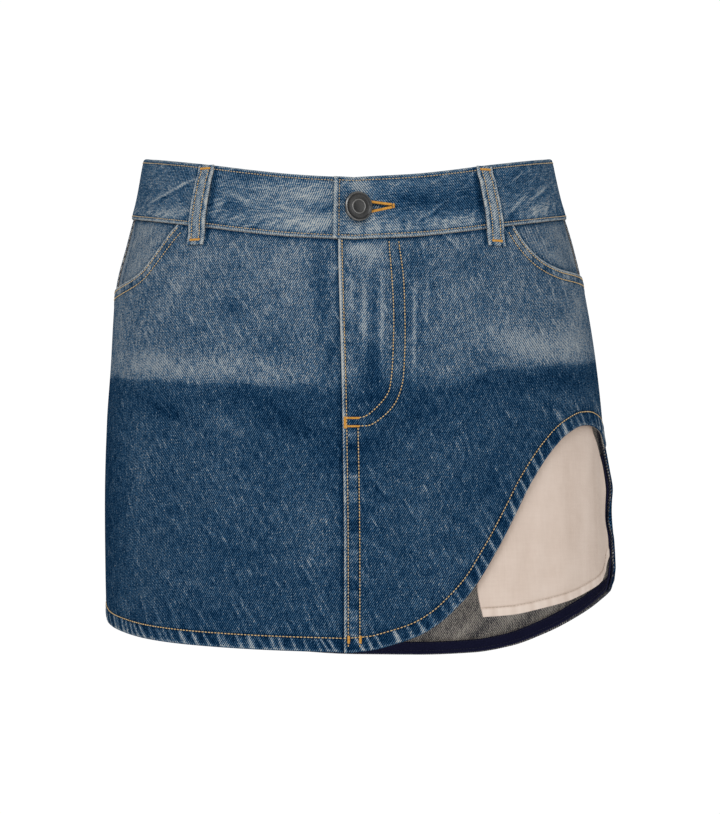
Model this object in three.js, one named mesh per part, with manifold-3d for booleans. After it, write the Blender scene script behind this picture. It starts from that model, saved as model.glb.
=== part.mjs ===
// A short denim skirt with an arch cut out over the wearer's left thigh, in the form it has when worn,
// and hollow. Millimetres, +Z up. The front faces -Y, and the wearer's left is +X.
// The origin is the middle of the waist, level with the top of the waistband at the sides.
// A place on the cloth is an angle and a height: 0 degrees is the centre front, 90 the wearer's left side,
// 180 the centre back, and -90 or 270 the wearer's right side. An offset is a distance out from the cloth.
import * as THREE from 'three';
import { mergeVertices } from 'three/addons/utils/BufferGeometryUtils.js';
import Module from 'manifold-3d';

const DEGREE = Math.PI / 180;

// Cloth and seams.
const DENIM = 1.3;
const HEM_THICK = 2.6;
const HEM_WIDTH = 10;
const HEM_STEP = 0.8;
const COTTON = 1.6;
const GAP = 0.3;
const LAYER_GAP = 0.35;

// Grid of the panels: columns, rows, and how much taller a hem may get where its edge slopes.
const STEP_ANGLE = 5;
const LEAST_STEP = 1.3;
const FRONT_ROWS = { rows: 4, bend: -128, rowsBelow: 7 };
const EDGE_ROWS = { rows: 5, bend: -196, rowsBelow: 9 };
const BACK_ROWS = { rows: 11 };
const BAND_ROWS = 3;
const EDGE_STEPS = [0, 0.3, 2.4, 4.5, 5];
const ARCH_COLUMNS = [12.5, 17.5, 22.5, 27.5, 32.5, 37.5, 42.5, 67.5, 72.5, 84, 87.5];
const PLAIN_STEEPEST = 1.35;
const ARCH_STEEPEST = 2.6;

// Waistband: height, how far its outer face stands out, its thickness, and its lap at the front.
const BAND_HEIGHT = 42.3;
const BAND_OUT = 1;
const BAND_THICK = 3;
const LAP_END = -5;
const UNDERLAP_END = 372.5;
const LAP_RISE = 1.8;
const UNDERLAP_DIP = 1.5;
const RISE_ANGLES = { full: 14, none: 26 };
const DIP_ANGLES = { none: 342, full: 353 };

// Seams that run down the skirt.
const SIDE_SEAM = 90.5;
const SEAM_HALF_GAP = 0.08;
const FLY_UNDERLAP_END = 6;
const UNDERLAP_START = -1.5;
const UNDERLAP_LIFT = 2;
const LAP_COLUMN = FLY_UNDERLAP_END + 0.4;
const LAP_FADE = 4;
const FLY_RISE = DENIM + LAYER_GAP;

// Half width to each side and half depth to the front and back, at each height.
const BODY = [
  { z: 8, left: 136.2, right: 144.4, front: 100, back: 100 },
  { z: 0, left: 138, right: 146.6, front: 100.5, back: 101 },
  { z: -28, left: 144.2, right: 151.7, front: 103, back: 104.5 },
  { z: -58, left: 153.2, right: 159.2, front: 105.5, back: 109 },
  { z: -91, left: 161, right: 167, front: 108, back: 116 },
  { z: -144, left: 169.5, right: 170.2, front: 111, back: 126 },
  { z: -186, left: 173.9, right: 172.9, front: 112, back: 129 },
  { z: -238, left: 177.6, right: 174, front: 112, back: 128 },
  { z: -294, left: 180.1, right: 173.3, front: 111, back: 124 },
  { z: -352, left: 180.6, right: 170.8, front: 110, back: 120 },
];

// Top edge of the waistband, alike on both sides of the centre.
const WAIST = [
  { angle: 0, z: -24.3 },
  { angle: 15, z: -21.8 },
  { angle: 27, z: -18 },
  { angle: 40, z: -13.1 },
  { angle: 58, z: -7.2 },
  { angle: 70, z: -3.9 },
  { angle: 90, z: 0 },
  { angle: 140, z: -3 },
  { angle: 180, z: -4 },
];

// Hem of the front's right panel.
const HEM_FRONT_RIGHT = [
  { angle: -91, z: -318 },
  { angle: -87, z: -320.5 },
  { angle: -80, z: -325 },
  { angle: -71, z: -329 },
  { angle: -55, z: -334.8 },
  { angle: -40, z: -338.4 },
  { angle: -20, z: -341.5 },
  { angle: 6, z: -343.8 },
];

// Hem of the front's left panel: the arch, up to the side seam.
const ARCH = [
  { angle: -4, z: -343.6 },
  { angle: 3.6, z: -341.7 },
  { angle: 8, z: -338.3 },
  { angle: 13.4, z: -332.9 },
  { angle: 18.5, z: -324 },
  { angle: 23.7, z: -310 },
  { angle: 27.4, z: -297.8 },
  { angle: 32.4, z: -276 },
  { angle: 37.8, z: -251 },
  { angle: 42.6, z: -230 },
  { angle: 49.4, z: -209.1 },
  { angle: 56.6, z: -195.6 },
  { angle: 64.5, z: -189.1 },
  { angle: 69.3, z: -188.4 },
  { angle: 76, z: -190.2 },
  { angle: 84, z: -194.5 },
  { angle: 91, z: -203 },
];

// Hem of the two back panels, from the corner on the left to the side seam on the right.
const HEM_BACK = [
  { angle: 90.5, z: -289 },
  { angle: 91.5, z: -296 },
  { angle: 94, z: -301.5 },
  { angle: 98, z: -304.3 },
  { angle: 104, z: -308.5 },
  { angle: 117, z: -320.3 },
  { angle: 131, z: -333.6 },
  { angle: 141, z: -342.1 },
  { angle: 151, z: -347 },
  { angle: 165, z: -348.8 },
  { angle: 180, z: -348.5 },
  { angle: 200, z: -344.5 },
  { angle: 218, z: -340 },
  { angle: 243, z: -330 },
  { angle: 256, z: -323.5 },
  { angle: 269.5, z: -318 },
];

// Mouth of each front pocket, from the waistband to the side seam.
const POCKET_LEFT = [
  { angle: 45.8, z: -53.9 },
  { angle: 47.3, z: -60.5 },
  { angle: 49.4, z: -67 },
  { angle: 51.7, z: -72 },
  { angle: 54.3, z: -75.7 },
  { angle: 57.2, z: -78.4 },
  { angle: 60.6, z: -80.3 },
  { angle: 65, z: -81.7 },
  { angle: 75, z: -82.4 },
  { angle: 91, z: -83.2 },
];
const POCKET_RIGHT = [
  { angle: 49.8, z: -52.6 },
  { angle: 52, z: -57.5 },
  { angle: 53.8, z: -62.9 },
  { angle: 56.1, z: -69.8 },
  { angle: 58.5, z: -76.3 },
  { angle: 61.3, z: -82.2 },
  { angle: 65, z: -86 },
  { angle: 70, z: -88.6 },
  { angle: 78, z: -91 },
  { angle: 91, z: -92.5 },
];

// Front edge of the fly and of the lapped seam below it.
const FLY_EDGE = [
  { z: -345, angle: -2.1 },
  { z: -281, angle: -2.1 },
  { z: -184, angle: -2.5 },
  { z: -66, angle: -3.7 },
];

// The back's free left edge waves outwards.
const EDGE_FLARE = [
  { z: -322, out: 0 },
  { z: -300, out: 0.6 },
  { z: -292, out: 2 },
  { z: -276, out: 3.1 },
  { z: -266, out: 3 },
  { z: -252, out: 1.1 },
  { z: -244, out: 2 },
  { z: -230, out: 4.1 },
  { z: -214, out: 2.5 },
  { z: -201, out: 1.2 },
  { z: -190, out: 0 },
];
const FLARE_FROM = 107;
const FLARE_FRONT = 84;

// Soft creases in the cloth: middle, half length, half width, depth, and slope of the long way.
const CREASES = [
  { angle: -14, z: -196, long: 34, wide: 13, deep: 1.2, slope: 12 },
  { angle: 16, z: -205, long: 30, wide: 13, deep: 1, slope: -14 },
  { angle: -52, z: -262, long: 62, wide: 17, deep: 1.9, slope: 62 },
  { angle: -27, z: -286, long: 46, wide: 15, deep: 1.3, slope: 70 },
  { angle: -71, z: -205, long: 50, wide: 16, deep: -1.3, slope: 80 },
  { angle: 24, z: -262, long: 40, wide: 14, deep: 1.1, slope: -66 },
  { angle: 58, z: -142, long: 42, wide: 16, deep: 1.3, slope: -28 },
  { angle: -62, z: -134, long: 44, wide: 17, deep: 1.2, slope: 24 },
  { angle: 158, z: -322, long: 42, wide: 13, deep: 2.2, slope: 58 },
  { angle: 147, z: -300, long: 46, wide: 13, deep: -1.8, slope: 62 },
  { angle: 125, z: -255, long: 60, wide: 18, deep: 2, slope: 75 },
  { angle: 112, z: -170, long: 44, wide: 16, deep: 1.2, slope: 30 },
  { angle: 205, z: -300, long: 50, wide: 16, deep: 2.1, slope: -68 },
  { angle: 232, z: -268, long: 58, wide: 18, deep: 1.9, slope: -76 },
  { angle: 248, z: -160, long: 40, wide: 16, deep: 1.3, slope: -26 },
  { angle: 180, z: -118, long: 46, wide: 15, deep: 1.1, slope: 6 },
];
const CREASE_ARC = 2.5;
const CREASE_TOP = -108;
const CREASE_FULL = -142;

// Pocket bag: its front edge and its edge by the side seam at each height, its curved bottom, and waves.
const BAG_TOP_DROP = 3;
const BAG_EDGES = [
  { z: -322, front: 29.8, side: 88.3 },
  { z: -298, front: 28.2, side: 88.3 },
  { z: -277, front: 28, side: 88.3 },
  { z: -217, front: 27.5, side: 87.6 },
  { z: -204, front: 27.4, side: 84 },
  { z: -190, front: 27.3, side: 75.5 },
  { z: -160, front: 27.2, side: 73 },
  { z: -55, front: 27, side: 74 },
];
const BAG_BOTTOM = [
  { angle: 29.7, z: -319.7 },
  { angle: 37, z: -318.3 },
  { angle: 45.4, z: -314.6 },
  { angle: 56, z: -309.2 },
  { angle: 68, z: -301.4 },
  { angle: 78, z: -294.5 },
  { angle: 84, z: -288.5 },
  { angle: 88.3, z: -278 },
];
const BAG_OFFSET = -3.8;
const BAG_WAVE = { deep: 0.35, perDegree: 0.36, perHeight: 0.004, none: -170, full: -210 };
const BAG_ROWS = { rows: 13 };

// Pocket facing: how far it runs on under the front panel, and how far it gapes at the side.
const FACING_UNDER = 14;
const FACING_LEAD = 5;
const FACING_THICK = 1.2;
const FACING_SIDE = SIDE_SEAM - 0.2;
const FACING_ROWS = { rows: 6 };
const GAPE = 2.6;
const GAPE_ANGLES = { start: 57, peak: 80, fall: 82, end: 91 };
const GAPE_HEIGHTS = { top: -40, full: -58, fall: -88, bottom: -124 };

// Binding tape inside the back hem.
const TAPE_THICK = 1;
const TAPE_INSET = 0.6;

// Belt loops: middles, width, thickness, and how the strap leaves the band.
const LOOP_ANGLES = {
  front_right: -41.5,
  front_left: 38.2,
  back_left: 122,
  back_centre: 180,
  back_right: 238,
};
const LOOP_WIDTH = 12.3;
const LOOP_THICK = 1.8;
const LOOP_PATH = [
  { down: 0.4, out: BAND_OUT + 0.35 },
  { down: 5.5, out: BAND_OUT + 0.35 },
  { down: 11, out: BAND_OUT + 1.7 },
  { down: 24, out: BAND_OUT + 2.3 },
  { down: 36, out: BAND_OUT + 1.7 },
  { down: 43.4, out: BAND_OUT + 0.45 },
  { down: 46.8, out: 0.6 },
  { down: 55, out: 0.35 },
];

// Button and its hole. The hole's half height is given at distances from the button's middle towards
// the wearer's left.
const BUTTON_ANGLE = 1.1;
const BUTTON_Z = -45;
const BUTTON_RADIUS = 10.15;
const BUTTON_TURN = 25;
const BUTTON_STAND = 7.7;
const SHANK_RADIUS = 3;
const SHANK_SIDES = 16;
const BUTTON_SIDES = 24;

// Half section of the button's face: a dished back, a raised rim and one plain ring.
const BUTTON_PROFILE = [
  { radius: 0, rise: -1.2 },
  { radius: BUTTON_RADIUS - 2.6, rise: -0.9 },
  { radius: BUTTON_RADIUS - 0.7, rise: -0.1 },
  { radius: BUTTON_RADIUS, rise: 0.8 },
  { radius: BUTTON_RADIUS - 0.15, rise: 1.6 },
  { radius: BUTTON_RADIUS - 0.9, rise: 2.1 },
  { radius: BUTTON_RADIUS - 1.8, rise: 2.1 },
  { radius: BUTTON_RADIUS - 2.4, rise: 1.5 },
  { radius: 5.4, rise: 1.6 },
  { radius: 5, rise: 1.9 },
  { radius: 4.2, rise: 1.9 },
  { radius: 3.8, rise: 1.6 },
  { radius: 0, rise: 1.7 },
];

const BUTTONHOLE = [
  { along: -4.2, half: 0.5 },
  { along: -3.2, half: 2.9 },
  { along: 0, half: 4.2 },
  { along: 4, half: 4 },
  { along: 8.5, half: 2.8 },
  { along: 14, half: 1.8 },
  { along: 19, half: 0.9 },
  { along: 23, half: 0.3 },
];
const BUTTONHOLE_RISE = 0.05;
const CUT_CLEAR = 3;

const COLOURS = {
  faded: 0x7d93a6,
  denim: 0x3c5f86,
  cotton: 0xe6d3c5,
  tape: 0x1a1f3d,
  metal: 0x3b3c3c,
};

const MERGE_DISTANCE = 1e-4;

const lerp = THREE.MathUtils.lerp;

function smooth(from, to, value) {
  const t = THREE.MathUtils.clamp((value - from) / (to - from), 0, 1);
  return t * t * (3 - 2 * t);
}

// A curve with no overshoot through the rows of a table, flat beyond its ends.
function curve(rows, across, column) {
  const xs = rows.map((row) => row[across]);
  const ys = rows.map((row) => row[column]);
  if (xs[0] > xs[xs.length - 1]) {
    xs.reverse();
    ys.reverse();
  }
  const slopes = xs.slice(1).map((x, i) => (ys[i + 1] - ys[i]) / (x - xs[i]));
  const tangents = xs.map((x, i) => {
    if (i === 0) return slopes[0];
    if (i === xs.length - 1) return slopes[i - 1];
    if (slopes[i - 1] * slopes[i] <= 0) return 0;
    return (2 * slopes[i - 1] * slopes[i]) / (slopes[i - 1] + slopes[i]);
  });
  return (x) => {
    if (x <= xs[0]) return ys[0];
    if (x >= xs[xs.length - 1]) return ys[ys.length - 1];
    const i = xs.findIndex((value) => value > x) - 1;
    const span = xs[i + 1] - xs[i];
    const t = (x - xs[i]) / span;
    const rise = (ys[i + 1] - ys[i]) * (3 - 2 * t) * t * t;
    const bend = span * t * (1 - t) * ((1 - t) * tangents[i] - t * tangents[i + 1]);
    return ys[i] + rise + bend;
  };
}

const halfLeft = curve(BODY, 'z', 'left');
const halfRight = curve(BODY, 'z', 'right');
const halfFront = curve(BODY, 'z', 'front');
const halfBack = curve(BODY, 'z', 'back');
const waistCurve = curve(WAIST, 'angle', 'z');
const hemFrontRight = curve(HEM_FRONT_RIGHT, 'angle', 'z');
const arch = curve(ARCH, 'angle', 'z');
const hemBack = curve(HEM_BACK, 'angle', 'z');
const pocketLeft = curve(POCKET_LEFT, 'angle', 'z');
const pocketRight = curve(POCKET_RIGHT, 'angle', 'z');
const flyEdge = curve(FLY_EDGE, 'z', 'angle');
const edgeFlare = curve(EDGE_FLARE, 'z', 'out');
const bagFront = curve(BAG_EDGES, 'z', 'front');
const bagSide = curve(BAG_EDGES, 'z', 'side');
const bagBottom = curve(BAG_BOTTOM, 'angle', 'z');

// The angle brought to between -180 and 180 degrees.
function wrapped(angle) {
  return THREE.MathUtils.euclideanModulo(angle + 180, 360) - 180;
}

function bandTop(angle) {
  return waistCurve(Math.abs(wrapped(angle)));
}

function bandBottom(angle) {
  return bandTop(angle) - BAND_HEIGHT;
}

// Depth of all the soft creases at a place, faded out towards the waistband.
function creases(angle, z) {
  let depth = 0;
  for (const crease of CREASES) {
    const across = wrapped(angle - crease.angle) * CREASE_ARC;
    const up = z - crease.z;
    const slope = crease.slope * DEGREE;
    const along = across * Math.cos(slope) + up * Math.sin(slope);
    const aside = up * Math.cos(slope) - across * Math.sin(slope);
    depth += crease.deep * Math.exp(-((along / crease.long) ** 2) - (aside / crease.wide) ** 2);
  }
  return depth * smooth(CREASE_TOP, CREASE_FULL, z);
}

// How far the free edge at the left side stands out: it dies away to the back, and quickly to the front.
function flare(angle, z) {
  const side = THREE.MathUtils.euclideanModulo(angle, 360);
  const reach = smooth(FLARE_FROM, SIDE_SEAM, side) * smooth(FLARE_FRONT, SIDE_SEAM, side);
  return edgeFlare(z) * reach;
}

// A point on the skirt, or at an offset out from it.
function clothPoint(angle, z, offset) {
  const sine = Math.sin(angle * DEGREE);
  const cosine = Math.cos(angle * DEGREE);
  const halfWidth = sine > 0 ? halfLeft(z) : halfRight(z);
  const halfDepth = cosine > 0 ? halfFront(z) : halfBack(z);
  const out = offset + flare(angle, z) - creases(angle, z);
  return new THREE.Vector3((halfWidth + out) * sine, -(halfDepth + out) * cosine, z);
}

// Length round the skirt of one degree.
function degreeLength(angle, z) {
  return clothPoint(angle + 0.5, z, 0).distanceTo(clothPoint(angle - 0.5, z, 0));
}

// Height of a band of a given width along a sloping edge.
function slopedHeight(edge, angle, width, steepest) {
  const slope = (edge(angle + 0.5) - edge(angle - 0.5)) / degreeLength(angle, edge(angle));
  return width * Math.min(Math.sqrt(1 + slope * slope), steepest);
}

// Angles from one end to the other, on whole steps in between, with any others that an outline needs.
function columnAngles(from, to, extra = []) {
  const angles = [from, to, ...extra];
  const first = Math.ceil(from / STEP_ANGLE) * STEP_ANGLE;
  for (let angle = first; angle < to; angle += STEP_ANGLE) {
    const clear = angles.every((other) => Math.abs(other - angle) > LEAST_STEP);
    if (clear) angles.push(angle);
  }
  return angles.sort((a, b) => a - b);
}

// A closed wall between an outer and an inner grid of points.
function wall(columns, rows, outerPoint, innerPoint) {
  const positions = [];
  for (const pointAt of [outerPoint, innerPoint]) {
    for (let i = 0; i < columns; i += 1) {
      for (let j = 0; j < rows; j += 1) {
        positions.push(...pointAt(i, j).toArray());
      }
    }
  }
  const layer = columns * rows;
  const at = (i, j) => i * rows + j;
  const indices = [];
  for (let i = 0; i < columns - 1; i += 1) {
    for (let j = 0; j < rows - 1; j += 1) {
      const a = at(i, j);
      const b = at(i, j + 1);
      const c = at(i + 1, j);
      const d = at(i + 1, j + 1);
      indices.push(a, b, c, c, b, d);
      indices.push(a + layer, c + layer, b + layer, c + layer, d + layer, b + layer);
    }
  }
  const rim = [];
  for (let j = 0; j < rows - 1; j += 1) rim.push(at(0, j));
  for (let i = 0; i < columns - 1; i += 1) rim.push(at(i, rows - 1));
  for (let j = rows - 1; j > 0; j -= 1) rim.push(at(columns - 1, j));
  for (let i = columns - 1; i > 0; i -= 1) rim.push(at(i, 0));
  rim.forEach((p, k) => {
    const q = rim[(k + 1) % rim.length];
    indices.push(q, p, p + layer, q, p + layer, q + layer);
  });
  const geometry = new THREE.BufferGeometry();
  geometry.setAttribute('position', new THREE.Float32BufferAttribute(positions, 3));
  geometry.setIndex(indices);
  return geometry;
}

// Heights of a panel's rows in one column, from its top to its bottom edge. The rows above and below
// the bend are spaced evenly, and a turned hem has three rows of its own.
function rowHeights({ top, bottom, rows, bend, rowsBelow, hem, steepest }, angle) {
  const low = bottom(angle);
  const hemHeight = hem ? slopedHeight(bottom, angle, HEM_WIDTH, steepest) : 0;
  const plainEnd = hem ? low + hemHeight + HEM_STEP : low;
  const middle = bend ?? plainEnd;
  const list = [];
  for (let j = 0; j <= rows; j += 1) list.push({ z: lerp(top(angle), middle, j / rows), turned: false });
  if (bend) {
    for (let j = 1; j <= rowsBelow; j += 1) {
      list.push({ z: lerp(middle, plainEnd, j / rowsBelow), turned: false });
    }
  }
  if (hem) {
    for (const part of [1, 0.5, 0]) list.push({ z: low + hemHeight * part, turned: true });
  }
  return list;
}

// A panel of cloth: its columns stand at the given angles. place moves a column sideways at a height,
// offset sets the outer face, and thick is the cloth's thickness.
function panel(spec) {
  const { angles, place, offset, thick } = spec;
  const table = angles.map((angle) => rowHeights(spec, angle));
  const pointAt = (i, j, inner) => {
    const { z, turned } = table[i][j];
    const angle = place ? place(angles[i], z) : angles[i];
    const outer = offset ? offset(angle, z) : 0;
    return clothPoint(angle, z, inner ? outer - thick(angle, z, turned) : outer);
  };
  const outerPoint = (i, j) => pointAt(i, j, false);
  const innerPoint = (i, j) => pointAt(i, j, true);
  return wall(angles.length, table[0].length, outerPoint, innerPoint);
}

function seamBelowBand(angle) {
  return bandBottom(angle) - GAP;
}

function turnedHem(angle, z, turned) {
  return turned ? HEM_THICK : DENIM;
}

// Wearer's right front panel. It runs on under the fly and the centre seam.
function frontRight() {
  const mouthStart = -POCKET_RIGHT[0].angle;
  const mouth = POCKET_RIGHT.slice(1, -1).map((row) => -row.angle);
  const extra = [UNDERLAP_START, mouthStart, ...mouth];
  return panel({
    angles: columnAngles(-SIDE_SEAM + SEAM_HALF_GAP, FLY_UNDERLAP_END, extra),
    top: (angle) => (angle < mouthStart ? pocketRight(-angle) : seamBelowBand(angle)),
    bottom: (angle) => (angle > UNDERLAP_START ? arch(angle) + UNDERLAP_LIFT : hemFrontRight(angle)),
    ...FRONT_ROWS,
    hem: true,
    steepest: PLAIN_STEEPEST,
    thick: turnedHem,
  });
}

// Wearer's left front panel. Its fly edge lies on the right panel, and its hem is the arch.
function frontLeft() {
  const mouthStart = POCKET_LEFT[0].angle;
  const mouth = POCKET_LEFT.slice(0, -1).map((row) => row.angle);
  const edge = FLY_EDGE[FLY_EDGE.length - 1].angle;
  const extra = [LAP_COLUMN, LAP_COLUMN + LAP_FADE / 2, ...mouth, ...ARCH_COLUMNS];
  return panel({
    angles: columnAngles(edge, SIDE_SEAM - SEAM_HALF_GAP, extra),
    top: (angle) => (angle > mouthStart ? pocketLeft(angle) : seamBelowBand(angle)),
    bottom: arch,
    ...FRONT_ROWS,
    hem: true,
    steepest: ARCH_STEEPEST,
    place: (angle, z) => (angle === edge ? flyEdge(z) : angle),
    offset: (angle) => FLY_RISE * smooth(LAP_COLUMN + LAP_FADE, LAP_COLUMN, angle),
    thick: (angle, z, turned) => (angle <= LAP_COLUMN ? DENIM : turnedHem(angle, z, turned)),
  });
}

// Wearer's left back panel, with its free, turned edge below the arch.
const EDGE_COLUMNS = EDGE_STEPS.map((step) => SIDE_SEAM + SEAM_HALF_GAP + step);
const EDGE_HEM_END = EDGE_COLUMNS[3];
const backLeftSpec = {
  angles: columnAngles(EDGE_COLUMNS[0], 180 - SEAM_HALF_GAP, EDGE_COLUMNS.slice(1)),
  top: seamBelowBand,
  bottom: hemBack,
  ...EDGE_ROWS,
  hem: true,
  steepest: PLAIN_STEEPEST,
  thick: (angle, z, turned) => (angle <= EDGE_HEM_END ? HEM_THICK : turnedHem(angle, z, turned)),
};

const backRightSpec = {
  angles: columnAngles(180 + SEAM_HALF_GAP, 360 - SIDE_SEAM - SEAM_HALF_GAP),
  top: seamBelowBand,
  bottom: hemBack,
  ...BACK_ROWS,
  hem: true,
  steepest: PLAIN_STEEPEST,
  thick: turnedHem,
};

// How far a facing and the bag behind it hang in from the side of the pocket's mouth.
function gape(angle, z) {
  const side = Math.abs(wrapped(angle));
  const { start, peak, fall, end } = GAPE_ANGLES;
  const { top, full, fall: low, bottom } = GAPE_HEIGHTS;
  const round = smooth(start, peak, side) * smooth(end, fall, side);
  return GAPE * round * smooth(top, full, z) * smooth(bottom, low, z);
}

// Facing behind one pocket's mouth. side is 1 for the wearer's left and -1 for the right.
function facing(side, mouth, mouthStart) {
  const from = mouthStart - FACING_LEAD;
  const angles = columnAngles(from, FACING_SIDE);
  const signed = side > 0 ? angles : angles.map((angle) => -angle).reverse();
  return panel({
    angles: signed,
    top: seamBelowBand,
    bottom: (angle) => mouth(Math.abs(angle)) - FACING_UNDER,
    ...FACING_ROWS,
    offset: (angle, z) => -DENIM - LAYER_GAP - gape(angle, z),
    thick: () => FACING_THICK,
  });
}

// Cotton pocket bag, two layers pressed together, hanging inside the front panel.
function pocketBag(side) {
  const front = BAG_BOTTOM[0].angle;
  const last = BAG_BOTTOM[BAG_BOTTOM.length - 1].angle;
  const angles = columnAngles(front, last);
  const signed = side > 0 ? angles : angles.map((angle) => -angle).reverse();
  const place = (angle, z) => {
    const part = (Math.abs(angle) - front) / (last - front);
    return side * lerp(bagFront(z), bagSide(z), part);
  };
  const { deep, perDegree, perHeight, none, full } = BAG_WAVE;
  const wave = (angle, z) => deep * Math.cos(Math.abs(angle) * perDegree + z * perHeight);
  return panel({
    angles: signed,
    top: (angle) => seamBelowBand(angle) - BAG_TOP_DROP,
    bottom: (angle) => bagBottom(Math.abs(angle)),
    ...BAG_ROWS,
    place,
    offset: (angle, z) => BAG_OFFSET + wave(angle, z) * smooth(none, full, z) - gape(angle, z),
    thick: () => COTTON,
  });
}

// Tape along the inside of the back hem, on the columns of both back panels.
function hemTape() {
  const angles = [...backLeftSpec.angles.slice(1), ...backRightSpec.angles.slice(0, -1)];
  const share = [1 - TAPE_INSET / HEM_WIDTH, 0.5, TAPE_INSET / HEM_WIDTH];
  const pointAt = (i, j, thick) => {
    const height = slopedHeight(hemBack, angles[i], HEM_WIDTH, PLAIN_STEEPEST);
    const z = hemBack(angles[i]) + height * share[j];
    return clothPoint(angles[i], z, -HEM_THICK - LAYER_GAP - thick);
  };
  const outerPoint = (i, j) => pointAt(i, j, 0);
  const innerPoint = (i, j) => pointAt(i, j, TAPE_THICK);
  return wall(angles.length, share.length, outerPoint, innerPoint);
}

// Tape up the inside of the back's free edge, on that edge's own columns and rows.
function edgeTape() {
  const angles = EDGE_COLUMNS.slice(1, 4);
  const firstRow = backLeftSpec.rows + 1;
  const lastRow = backLeftSpec.rows + backLeftSpec.rowsBelow;
  const table = angles.map((angle) => rowHeights(backLeftSpec, angle).slice(firstRow, lastRow + 1));
  const pointAt = (i, j, thick) => clothPoint(angles[i], table[i][j].z, -HEM_THICK - LAYER_GAP - thick);
  const outerPoint = (i, j) => pointAt(i, j, 0);
  const innerPoint = (i, j) => pointAt(i, j, TAPE_THICK);
  return wall(angles.length, table[0].length, outerPoint, innerPoint);
}

// Offset of the waistband's outer face: its left end rises over the underlap, which dips below it.
function bandOffset(turn) {
  const rise = LAP_RISE * smooth(RISE_ANGLES.none, RISE_ANGLES.full, turn);
  const dip = UNDERLAP_DIP * smooth(DIP_ANGLES.none, DIP_ANGLES.full, turn);
  return BAND_OUT + rise - dip;
}

// The waistband goes once round from its lapped end and on under itself.
function waistband() {
  const turns = columnAngles(LAP_END, UNDERLAP_END);
  const pointAt = (i, j, inner) => {
    const turn = turns[i];
    const z = lerp(bandTop(turn), bandBottom(turn), j / (BAND_ROWS - 1));
    return clothPoint(turn, z, bandOffset(turn) - (inner ? BAND_THICK : 0));
  };
  const outerPoint = (i, j) => pointAt(i, j, false);
  const innerPoint = (i, j) => pointAt(i, j, true);
  return wall(turns.length, BAND_ROWS, outerPoint, innerPoint);
}

// Solid that cuts the buttonhole, pulled open by the button, through the upper end of the waistband.
function buttonholeCutter() {
  const degree = degreeLength(BUTTON_ANGLE, BUTTON_Z);
  const inner = BAND_OUT + LAP_RISE - BAND_THICK - GAP / 2;
  const pointAt = (i, j, offset) => {
    const { along, half } = BUTTONHOLE[i];
    const z = BUTTON_Z + along * BUTTONHOLE_RISE + (j === 0 ? half : -half);
    return clothPoint(BUTTON_ANGLE + along / degree, z, offset);
  };
  const outerPoint = (i, j) => pointAt(i, j, inner + BAND_THICK + CUT_CLEAR);
  const innerPoint = (i, j) => pointAt(i, j, inner);
  return wall(BUTTONHOLE.length, 2, outerPoint, innerPoint);
}

// Strap of a belt loop, tacked at both ends and standing off the waistband between them.
function beltLoop(middle) {
  const halfAngle = LOOP_WIDTH / 2 / degreeLength(middle, bandTop(middle) - BAND_HEIGHT / 2);
  const angles = [middle - halfAngle, middle, middle + halfAngle];
  const pointAt = (i, j, thick) => {
    const { down, out } = LOOP_PATH[j];
    return clothPoint(angles[i], bandTop(middle) - down, out + thick);
  };
  const outerPoint = (i, j) => pointAt(i, j, LOOP_THICK);
  const innerPoint = (i, j) => pointAt(i, j, 0);
  return wall(angles.length, LOOP_PATH.length, outerPoint, innerPoint);
}

// The button: its face turned a little to the wearer's left, on a shank that stands in the hole.
function button() {
  const seat = clothPoint(BUTTON_ANGLE, BUTTON_Z, BAND_OUT - UNDERLAP_DIP + GAP);
  const profile = BUTTON_PROFILE.map(({ radius, rise }) => new THREE.Vector2(radius, rise));
  const face = new THREE.LatheGeometry(profile, BUTTON_SIDES);
  face.rotateX(Math.PI);
  face.rotateZ(BUTTON_TURN * DEGREE);
  face.translate(seat.x, seat.y - BUTTON_STAND, seat.z);
  const shank = new THREE.CylinderGeometry(SHANK_RADIUS, SHANK_RADIUS, BUTTON_STAND, SHANK_SIDES);
  shank.translate(seat.x, seat.y - BUTTON_STAND / 2, seat.z);
  return fromSolid(toSolid(face).add(toSolid(shank)));
}

const library = await Module();
library.setup();

// A closed mesh with merged vertices as a solid that can be joined and cut.
function toSolid(geometry) {
  const plain = geometry.clone();
  plain.deleteAttribute('normal');
  plain.deleteAttribute('uv');
  const merged = mergeVertices(plain, MERGE_DISTANCE);
  const corners = merged.index.array;
  const triangles = [];
  for (let i = 0; i < corners.length; i += 3) {
    const [a, b, c] = [corners[i], corners[i + 1], corners[i + 2]];
    if (a !== b && b !== c && c !== a) triangles.push(a, b, c);
  }
  const vertProperties = new Float32Array(merged.attributes.position.array);
  const triVerts = new Uint32Array(triangles);
  return new library.Manifold(new library.Mesh({ numProp: 3, vertProperties, triVerts }));
}

function fromSolid(solid) {
  const mesh = solid.getMesh();
  const geometry = new THREE.BufferGeometry();
  geometry.setAttribute('position', new THREE.BufferAttribute(new Float32Array(mesh.vertProperties), 3));
  geometry.setIndex(new THREE.BufferAttribute(new Uint32Array(mesh.triVerts), 1));
  return geometry;
}

const materials = {
  faded: new THREE.MeshStandardMaterial({ color: COLOURS.faded, roughness: 0.92, metalness: 0 }),
  denim: new THREE.MeshStandardMaterial({ color: COLOURS.denim, roughness: 0.92, metalness: 0 }),
  cotton: new THREE.MeshStandardMaterial({ color: COLOURS.cotton, roughness: 0.9, metalness: 0 }),
  tape: new THREE.MeshStandardMaterial({ color: COLOURS.tape, roughness: 0.85, metalness: 0 }),
  metal: new THREE.MeshStandardMaterial({ color: COLOURS.metal, roughness: 0.42, metalness: 0.9 }),
};

const skirt = new THREE.Group();

function add(name, geometry, material) {
  geometry.computeVertexNormals();
  const mesh = new THREE.Mesh(geometry, material);
  mesh.name = name;
  skirt.add(mesh);
}

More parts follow.
